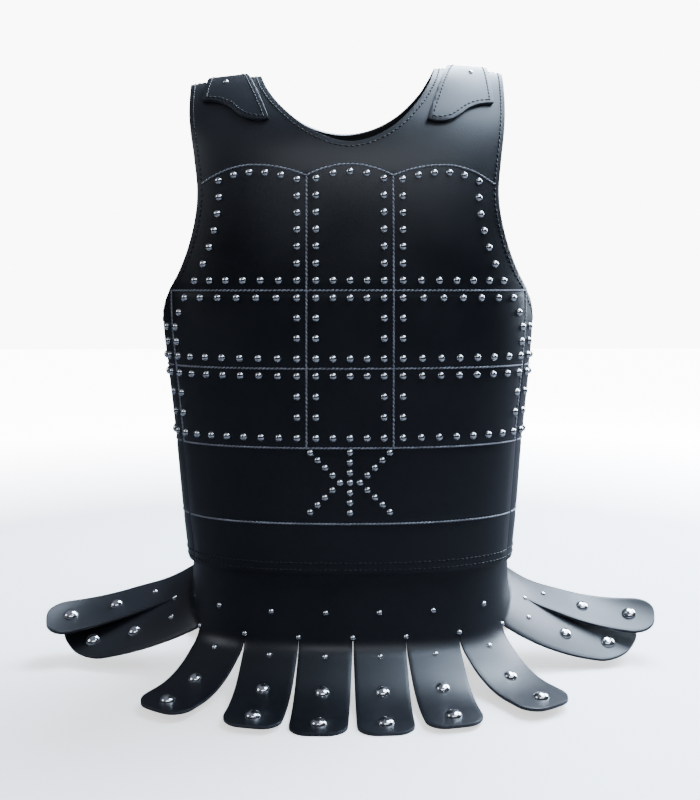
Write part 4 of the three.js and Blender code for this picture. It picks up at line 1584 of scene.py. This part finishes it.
@dataclass
class Panel:
    """The front or back panel with its stitching and studs."""

    pattern: PanelPattern
    finishes: Finishes
    spacing: float = 3.7
    thickness: float = 3.5
    edge: float = 0.9
    pale_lift: float = 0.2
    dark_lift: float = 0.05
    stud: DomedRivet = DomedRivet(4.0, 3.1)
    star_stud: DomedRivet = DomedRivet(3.7, 3.0)

    def build(self) -> None:
        """Make the panel and everything on it."""
        pattern, side = self.pattern, self.pattern.side
        pattern.prepare_relief()

        def place(u: float, v: float, out: float) -> Vector:
            """The panel's outer face."""
            return pattern.torso.place(side, u, v, out)

        outline = pattern.outline()
        bm = cut_sheet(outline, self.spacing)
        for vert in bm.verts:
            u, v = vert.co.x, vert.co.y
            vert.co = to_frame(place(u, v, pattern.relief(u, v)))
        panel = finished_object(bm, f"{side.value}_leather", Slot.LEATHER, self.finishes.sheet)
        give_thickness(panel, self.thickness, self.edge)
        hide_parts(f"{side.value}_panel")

        stitches = []
        for line in pattern.pale_lines():
            stitches += PALE_STITCH.along(place, line, lambda u, v: pattern.relief(u, v) + self.pale_lift)
        bm = scatter(PALE_STITCH.template, stitches)
        thread = [self.finishes.pale_thread]
        pale = finished_object(bm, f"{side.value}_plate_stitching", Slot.PALE_THREAD, thread)

        stitches = []
        for line in pattern.dark_lines():
            stitches += DARK_STITCH.along(place, line, lambda u, v: pattern.relief(u, v) + self.dark_lift)
        bm = scatter(DARK_STITCH.template, stitches)
        thread = [self.finishes.dark_thread]
        dark = finished_object(bm, f"{side.value}_edge_stitching", Slot.DARK_THREAD, thread)

        places = [place_matrix(place, u, v, pattern.relief(u, v) + SUNK) for u, v in pattern.studs()]
        bm = scatter(self.stud.template, places)
        studs = finished_object(bm, f"{side.value}_plate_studs", Slot.NICKEL, [self.finishes.nickel])
        if side is Side.FRONT:
            places = [place_matrix(place, u, v, pattern.relief(u, v) + SUNK) for u, v in pattern.star()]
            bm = scatter(self.star_stud.template, places)
            finished_object(bm, "front_star_studs", Slot.NICKEL, [self.finishes.nickel])
        shoelace(outline) * MM * MM


@dataclass
class Skirt:
    """The front or back skirt with its strips, studs and large domed rivets."""

    form: SkirtForm
    finishes: Finishes
    columns: int = 12
    edge: float = 0.8
    row_spacing: float = 4
    first_row: float = 2
    tip_rows: int = 6
    merged_within: float = 0.05
    stud_distance: Flat = (21, 22)
    middle_distance: Flat = (61.5, 66)
    tip_distance: Flat = (108, 112)
    slit_rivet_below: float = 3
    corner_rivet_below: float = 6
    small: DomedRivet = DomedRivet(3.1, 2.2, 12, 3)
    slit_rivet: DomedRivet = DomedRivet(2.9, 1.9, 12, 3)
    middle_dome: DomedRivet = DomedRivet(7, 4.2, 20, 5)
    tip_dome: DomedRivet = DomedRivet(8, 5, 20, 5)

    def strip_rows(self, strip: int) -> list[tuple[float, float]]:
        """Rows of a strip below its slits: pattern height and how far its sides draw in at the tip.

        Args:
            strip: the strip's number.

        Returns:
            The rows from the slits to the tip.
        """
        form = self.form
        end = form.slit_z - form.strip_length(strip)
        straight = even([(0, form.slit_z - self.first_row), (0, end + form.tip_radius)], self.row_spacing)
        rows = [(form.slit_z, 0.0)] + [(v, form.slit_gap / 2) for _, v in straight]
        for i in range(1, self.tip_rows + 1):
            turn = math.radians(90 * i / self.tip_rows)
            inset = form.slit_gap / 2 + form.tip_radius * (1 - math.cos(turn))
            rows.append((end + form.tip_radius * (1 - math.sin(turn)), inset))
        return rows

    def add_strip(self, bm: bmesh.types.BMesh, strip: int) -> None:
        """Add a strip with its stretch of the band.

        Args:
            bm: the skirt's bmesh.
            strip: the strip's number.
        """
        form = self.form
        left, right = form.slits[strip], form.slits[strip + 1]
        rows = [(v, 0.0) for v in form.band_levels[:-1]] + self.strip_rows(strip)

        def at(across: float, along: float) -> Vector:
            """Surface at shares of the strip's width and length.

            Args:
                across: the share of the width.
                along: the share of the length.

            Returns:
                The point in the frame.
            """
            v, inset = rows[round((1 - along) * (len(rows) - 1))]
            return to_frame(form.place(strip, lerp(left + inset, right - inset, across), v, 0))

        mapped_grid(bm, self.columns, len(rows) - 1, at)

    def build(self) -> None:
        """Make the skirt and everything on it."""
        form, side = self.form, self.form.side.value
        bm = bmesh.new()
        for strip in range(form.strip_count):
            self.add_strip(bm, strip)
        bmesh.ops.remove_doubles(bm, verts=bm.verts[:], dist=self.merged_within * MM)
        skirt = finished_object(bm, f"{side}_skirt_leather", Slot.LEATHER, self.finishes.sheet)
        give_thickness(skirt, form.thickness, self.edge)
        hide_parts(f"{side}_skirt")

        studs, middles, tips, nodes = [], [], [], []
        for strip in range(form.strip_count):
            place = self.placer(strip)
            u = form.middle(strip)
            studs.append(place_matrix(place, u, form.rivet_v(strip, *self.stud_distance), SUNK))
            if not form.is_wing(strip):
                studs.append(place_matrix(place, u, form.band_stud_z, SUNK))
            for domes, distance in ((middles, self.middle_distance), (tips, self.tip_distance)):
                v = form.rivet_v(strip, *distance)
                domes.append(place_matrix(place, u, v, SUNK, math.pi / 2))
        groups = (
            ("strip_studs", self.small, studs, None),
            ("middle_domes", self.middle_dome, middles, "middle"),
            ("tip_domes", self.tip_dome, tips, "tip"),
        )
        for name, rivet, places, node in groups:
            bm = scatter(rivet.template, places)
            piece = finished_object(bm, f"{side}_{name}", Slot.NICKEL, [self.finishes.nickel])
            if node:
                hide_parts(*(f"{side}_{node}_dome_{i + 1}" for i in range(form.strip_count)))
        slits = form.slits[1:-1]
        places = []
        for i, u in enumerate(slits):
            strip = i + 1 if form.is_wing(i) and not form.is_wing(i + 1) else i
            is_corner = form.is_wing(i) != form.is_wing(i + 1)
            below = self.corner_rivet_below if is_corner else self.slit_rivet_below
            places.append(place_matrix(self.placer(strip), u, form.slit_z - below, SUNK))
        bm = scatter(self.slit_rivet.template, places)
        finished_object(bm, f"{side}_slit_rivets", Slot.NICKEL, [self.finishes.nickel])
        band_height = form.top_z - form.slit_z
        length = band_height + max(form.strip_length(strip) for strip in range(form.strip_count))
        corners = (4 - math.pi) / 2 * form.tip_radius**2
        strips_area = sum(
            (form.slits[i + 1] - form.slits[i] - form.slit_gap) * form.strip_length(i) - corners
            for i in range(form.strip_count)
        )

    def placer(self, strip: int) -> Placer:
        """The surface of one strip."""
        return lambda u, v, out: self.form.place(strip, u, v, out)


@dataclass
class ShoulderPatch:
    """A thick patch over one shoulder seam."""

    torso: TorsoForm
    finishes: Finishes
    name: str
    sign: int
    corners: tuple[Flat, ...]
    gap: float = 0.6
    thickness: float = 4
    edge: float = 1
    edge_spacing: float = 3
    spacing: float = 4
    stitch_inset: float = 4.5
    stitch_lift: float = 0.05
    rivet_down: float = 30
    rivet: DomedRivet = DomedRivet(3.0, 2.0)

    def place(self, u: float, v: float, out: float) -> Vector:
        """The patch's outer face, given x across and the length over the shoulder.

        Args:
            u: x across.
            v: the length up and over.
            out: the height over the patch.

        Returns:
            The point.
        """
        torso = self.torso

        def surface(du: float, dv: float) -> Vector:
            """Torso face near the point.

            Args:
                du: how far across from it.
                dv: how far along from it.

            Returns:
                The point of the face.
            """
            row = torso.row_of_run(v + dv)
            angle = angle_of_x(u + du, curve_at(torso.loop_width, row))
            return torso.face(180 - angle if row > torso.crest else angle, row)

        return moved_out(surface, self.gap + self.thickness + out)

    def half(self, spacing: float) -> list[Flat]:
        """Outline over the front, from the inner crest round to the outer crest.

        Args:
            spacing: the distance between points.

        Returns:
            The outline's points: x and the length down the front.
        """
        corners = self.corners
        end = smooth_curve(corners[1:-1])
        sides = along_line(corners[:2], spacing), along_line(corners[-2:], spacing)
        return [*sides[0], *even(end, spacing)[:-1], *sides[1]]

    def outline(self, spacing: float) -> list[Flat]:
        """The whole outline in pattern points.

        Args:
            spacing: the distance between points.

        Returns:
            The outline, anticlockwise.
        """
        front = self.half(spacing)
        whole = [*front, self.corners[-1], *((x, -down) for x, down in front[:0:-1])]
        pattern = [(self.sign * x, self.torso.crest_run - down) for x, down in whole]
        return pattern[::-1] if self.sign < 0 else pattern

    def build(self) -> None:
        """Make the patch, its stitching and its rivet."""
        outline = self.outline(self.edge_spacing)
        bm = cut_sheet(outline, self.spacing)
        for vert in bm.verts:
            vert.co = to_frame(self.place(vert.co.x, vert.co.y, 0))
        materials = (self.finishes.patch, self.finishes.flesh, self.finishes.edge)
        patch = finished_object(bm, f"{self.name}_leather", Slot.PATCH, materials)
        give_thickness(patch, self.thickness, self.edge)
        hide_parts(self.name)
        ring = outline + outline[:1]
        row = inset_line(ring, self.stitch_inset)
        row[0] = row[-1] = ((row[0][0] + row[-1][0]) / 2, (row[0][1] + row[-1][1]) / 2)
        stitches = DARK_STITCH.along(self.place, row, lambda u, v: self.stitch_lift)
        bm = scatter(DARK_STITCH.template, stitches)
        thread = [self.finishes.dark_thread]
        sewing = finished_object(bm, f"{self.name}_stitching", Slot.DARK_THREAD, thread)
        middle = (self.corners[0][0] + self.corners[-1][0]) / 2
        crest = self.torso.crest_run
        places = [
            place_matrix(self.place, self.sign * middle, v, SUNK)
            for v in (crest - self.rivet_down, crest + self.rivet_down)
        ]
        bm = scatter(self.rivet.template, places)
        rivets = finished_object(bm, f"{self.name}_rivets", Slot.NICKEL, [self.finishes.nickel])
        shoelace(outline) * MM * MM


@dataclass
class Studio:
    """Floor, light and camera."""

    focal_px: float = 1052
    distance: float = 1150
    height: float = 400
    azimuth: float = -1.0
    middle_px: Flat = (348.25, 290)
    white: float = 12.0
    near_white: float = 0.1
    fade_start: float = 0.75
    fade_rate: float = 0.9
    floor_half_size: float = 6
    floor_bounce: Colour = (0.1, 0.1, 0.11)
    floor_seen: Colour = (0.92, 0.92, 0.92)
    sky_low: Colour = (0.02, 0.021, 0.026)
    sky_high: Colour = (0.5, 0.55, 0.66)
    sky_start: float = 0.15
    sky_rate: float = 1.3
    sky_strength: float = 0.4
    frame_px: Flat = (700, 800)

    def build(self) -> None:
        """Make the studio."""
        self.add_floor()
        self.add_world()
        self.add_lights()
        self.add_camera()

    def add_floor(self) -> None:
        """A plain pale floor."""
        bm = bmesh.new()
        bmesh.ops.create_grid(bm, x_segments=1, y_segments=1, size=self.floor_half_size)
        mesh = bpy.data.meshes.new("floor")
        bm.to_mesh(mesh)
        bm.free()
        floor = bpy.data.objects.new("floor", mesh)
        bpy.context.scene.collection.objects.link(floor)
        material, tree, shader = new_material("pale floor")
        path = tree.nodes.new("ShaderNodeLightPath")
        pale = mix_colours(tree, path.outputs["Is Camera Ray"], self.floor_bounce, self.floor_seen)
        tree.links.new(pale, shader.inputs["Base Color"])
        place = tree.nodes.new("ShaderNodeTexCoord")
        reach = tree.nodes.new("ShaderNodeVectorMath")
        reach.operation = "LENGTH"
        tree.links.new(place.outputs["Object"], reach.inputs[0])
        past = math_node(tree, "SUBTRACT", reach.outputs["Value"], self.fade_start)
        far = math_node(tree, "MULTIPLY", past, self.fade_rate)
        far.node.use_clamp = True
        glow = math_node(tree, "MAXIMUM", far, self.near_white)
        seen = math_node(tree, "MULTIPLY", glow, path.outputs["Is Camera Ray"])
        white = mix_colours(tree, seen, (0, 0, 0), (1, 1, 1))
        tree.links.new(white, shader.inputs["Emission Color"])
        shader.inputs["Emission Strength"].default_value = self.white
        shader.inputs["Roughness"].default_value = 0.85
        shader.inputs["Specular IOR Level"].default_value = 0.1
        mesh.materials.append(material)

    def add_world(self) -> None:
        """White where the camera sees it, and a softer light on the object."""
        world = bpy.data.worlds.new("studio")
        bpy.context.scene.world = world
        world.use_nodes = True
        tree = world.node_tree
        shade = tree.nodes["Background"]
        direction = tree.nodes.new("ShaderNodeTexCoord")
        parts = tree.nodes.new("ShaderNodeSeparateXYZ")
        tree.links.new(direction.outputs["Generated"], parts.inputs[0])
        above = math_node(tree, "SUBTRACT", parts.outputs["Z"], self.sky_start)
        height = math_node(tree, "MULTIPLY", above, self.sky_rate)
        height.node.use_clamp = True
        sky = mix_colours(tree, height, self.sky_low, self.sky_high)
        tree.links.new(sky, shade.inputs["Color"])
        shade.inputs["Strength"].default_value = self.sky_strength
        white = tree.nodes.new("ShaderNodeBackground")
        white.inputs["Strength"].default_value = self.white
        mix = tree.nodes.new("ShaderNodeMixShader")
        path = tree.nodes.new("ShaderNodeLightPath")
        tree.links.new(path.outputs["Is Camera Ray"], mix.inputs["Fac"])
        tree.links.new(shade.outputs["Background"], mix.inputs[1])
        tree.links.new(white.outputs["Background"], mix.inputs[2])
        tree.links.new(mix.outputs["Shader"], tree.nodes["World Output"].inputs["Surface"])

    def add_lights(self) -> None:
        """Soft boxes: overhead, high behind, behind on the right, on the left, and a wide one in front."""
        boxes = (
            ("overhead", (0.95, -0.2, 1.9), (0.2, -0.05, 0.45), (1.1, 1.1), 52, (0.64, 0.8, 1.0)),
            ("high_back", (0.65, 0.9, 2.0), (0.1, 0, 0.5), (1.2, 1.2), 150, (0.68, 0.82, 1.0)),
            ("right_back", (1.75, 1.0, 1.1), (0.2, 0, 0.2), (1.2, 1.2), 120, (0.72, 0.84, 1.0)),
            ("left", (-2.0, -0.4, 1.3), (0, 0, 0.35), (0.9, 0.9), 9, (0.85, 0.91, 1.0)),
            ("front", (0.25, -1.75, 1.65), (0, -0.15, 0.1), (2.0, 0.42), 13, (0.84, 0.9, 1.0)),
        )
        for name, at, aim, (across, high), power, colour in boxes:
            light = bpy.data.lights.new(name, "AREA")
            light.shape = "RECTANGLE"
            light.size = across
            light.size_y = high
            light.energy = power
            light.color = colour
            lamp = bpy.data.objects.new(f"light_{name}", light)
            lamp.location = at
            lamp.rotation_euler = (Vector(aim) - Vector(at)).to_track_quat("-Z", "Y").to_euler()
            bpy.context.scene.collection.objects.link(lamp)

    def add_camera(self) -> None:
        """A level camera at the photograph's angle."""
        camera = bpy.data.cameras.new("camera")
        longer = max(self.frame_px)
        camera.sensor_width = 36
        camera.lens = self.focal_px / longer * camera.sensor_width
        camera.shift_x = (self.frame_px[0] / 2 - self.middle_px[0]) / longer
        camera.shift_y = (self.middle_px[1] - self.frame_px[1] / 2) / longer
        eye = bpy.data.objects.new("camera", camera)
        turn = math.radians(self.azimuth)
        at = Vector((self.distance * math.sin(turn), -self.distance * math.cos(turn), self.height))
        eye.location = to_frame(at)
        eye.rotation_euler = (math.pi / 2, 0, turn)
        bpy.context.scene.collection.objects.link(eye)
        bpy.context.scene.camera = eye


# Corners of the patches' front halves: x and the length down from the shoulder's crest
RIGHT_PATCH = (
    (111, 0), (82, 102), (92, 103.5), (104, 100), (114.5, 91),
    (125, 76), (137.5, 66), (152.5, 60.5), (148, 0),
)
LEFT_PATCH = (
    (112, 0), (79.5, 106), (91, 108), (103, 106), (113.5, 99.5),
    (125, 89), (138, 82), (152, 78.5), (151, 0),
)


def main() -> None:
    """Build the cuirass's looks and its studio."""
    logging.basicConfig(level=logging.INFO, format="%(name)s: %(message)s")
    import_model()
    Studio().build()
    finishes = Finishes()
    torso = TorsoForm()
    for side in Side:
        Skirt(SkirtForm(side), finishes).build()
        Panel(PanelPattern(torso, side), finishes).build()
    ShoulderPatch(torso, finishes, "shoulder_patch_right", -1, RIGHT_PATCH).build()
    ShoulderPatch(torso, finishes, "shoulder_patch_left", 1, LEFT_PATCH).build()
    bpy.context.view_layer.update()


if __name__ == "__main__":
    main()
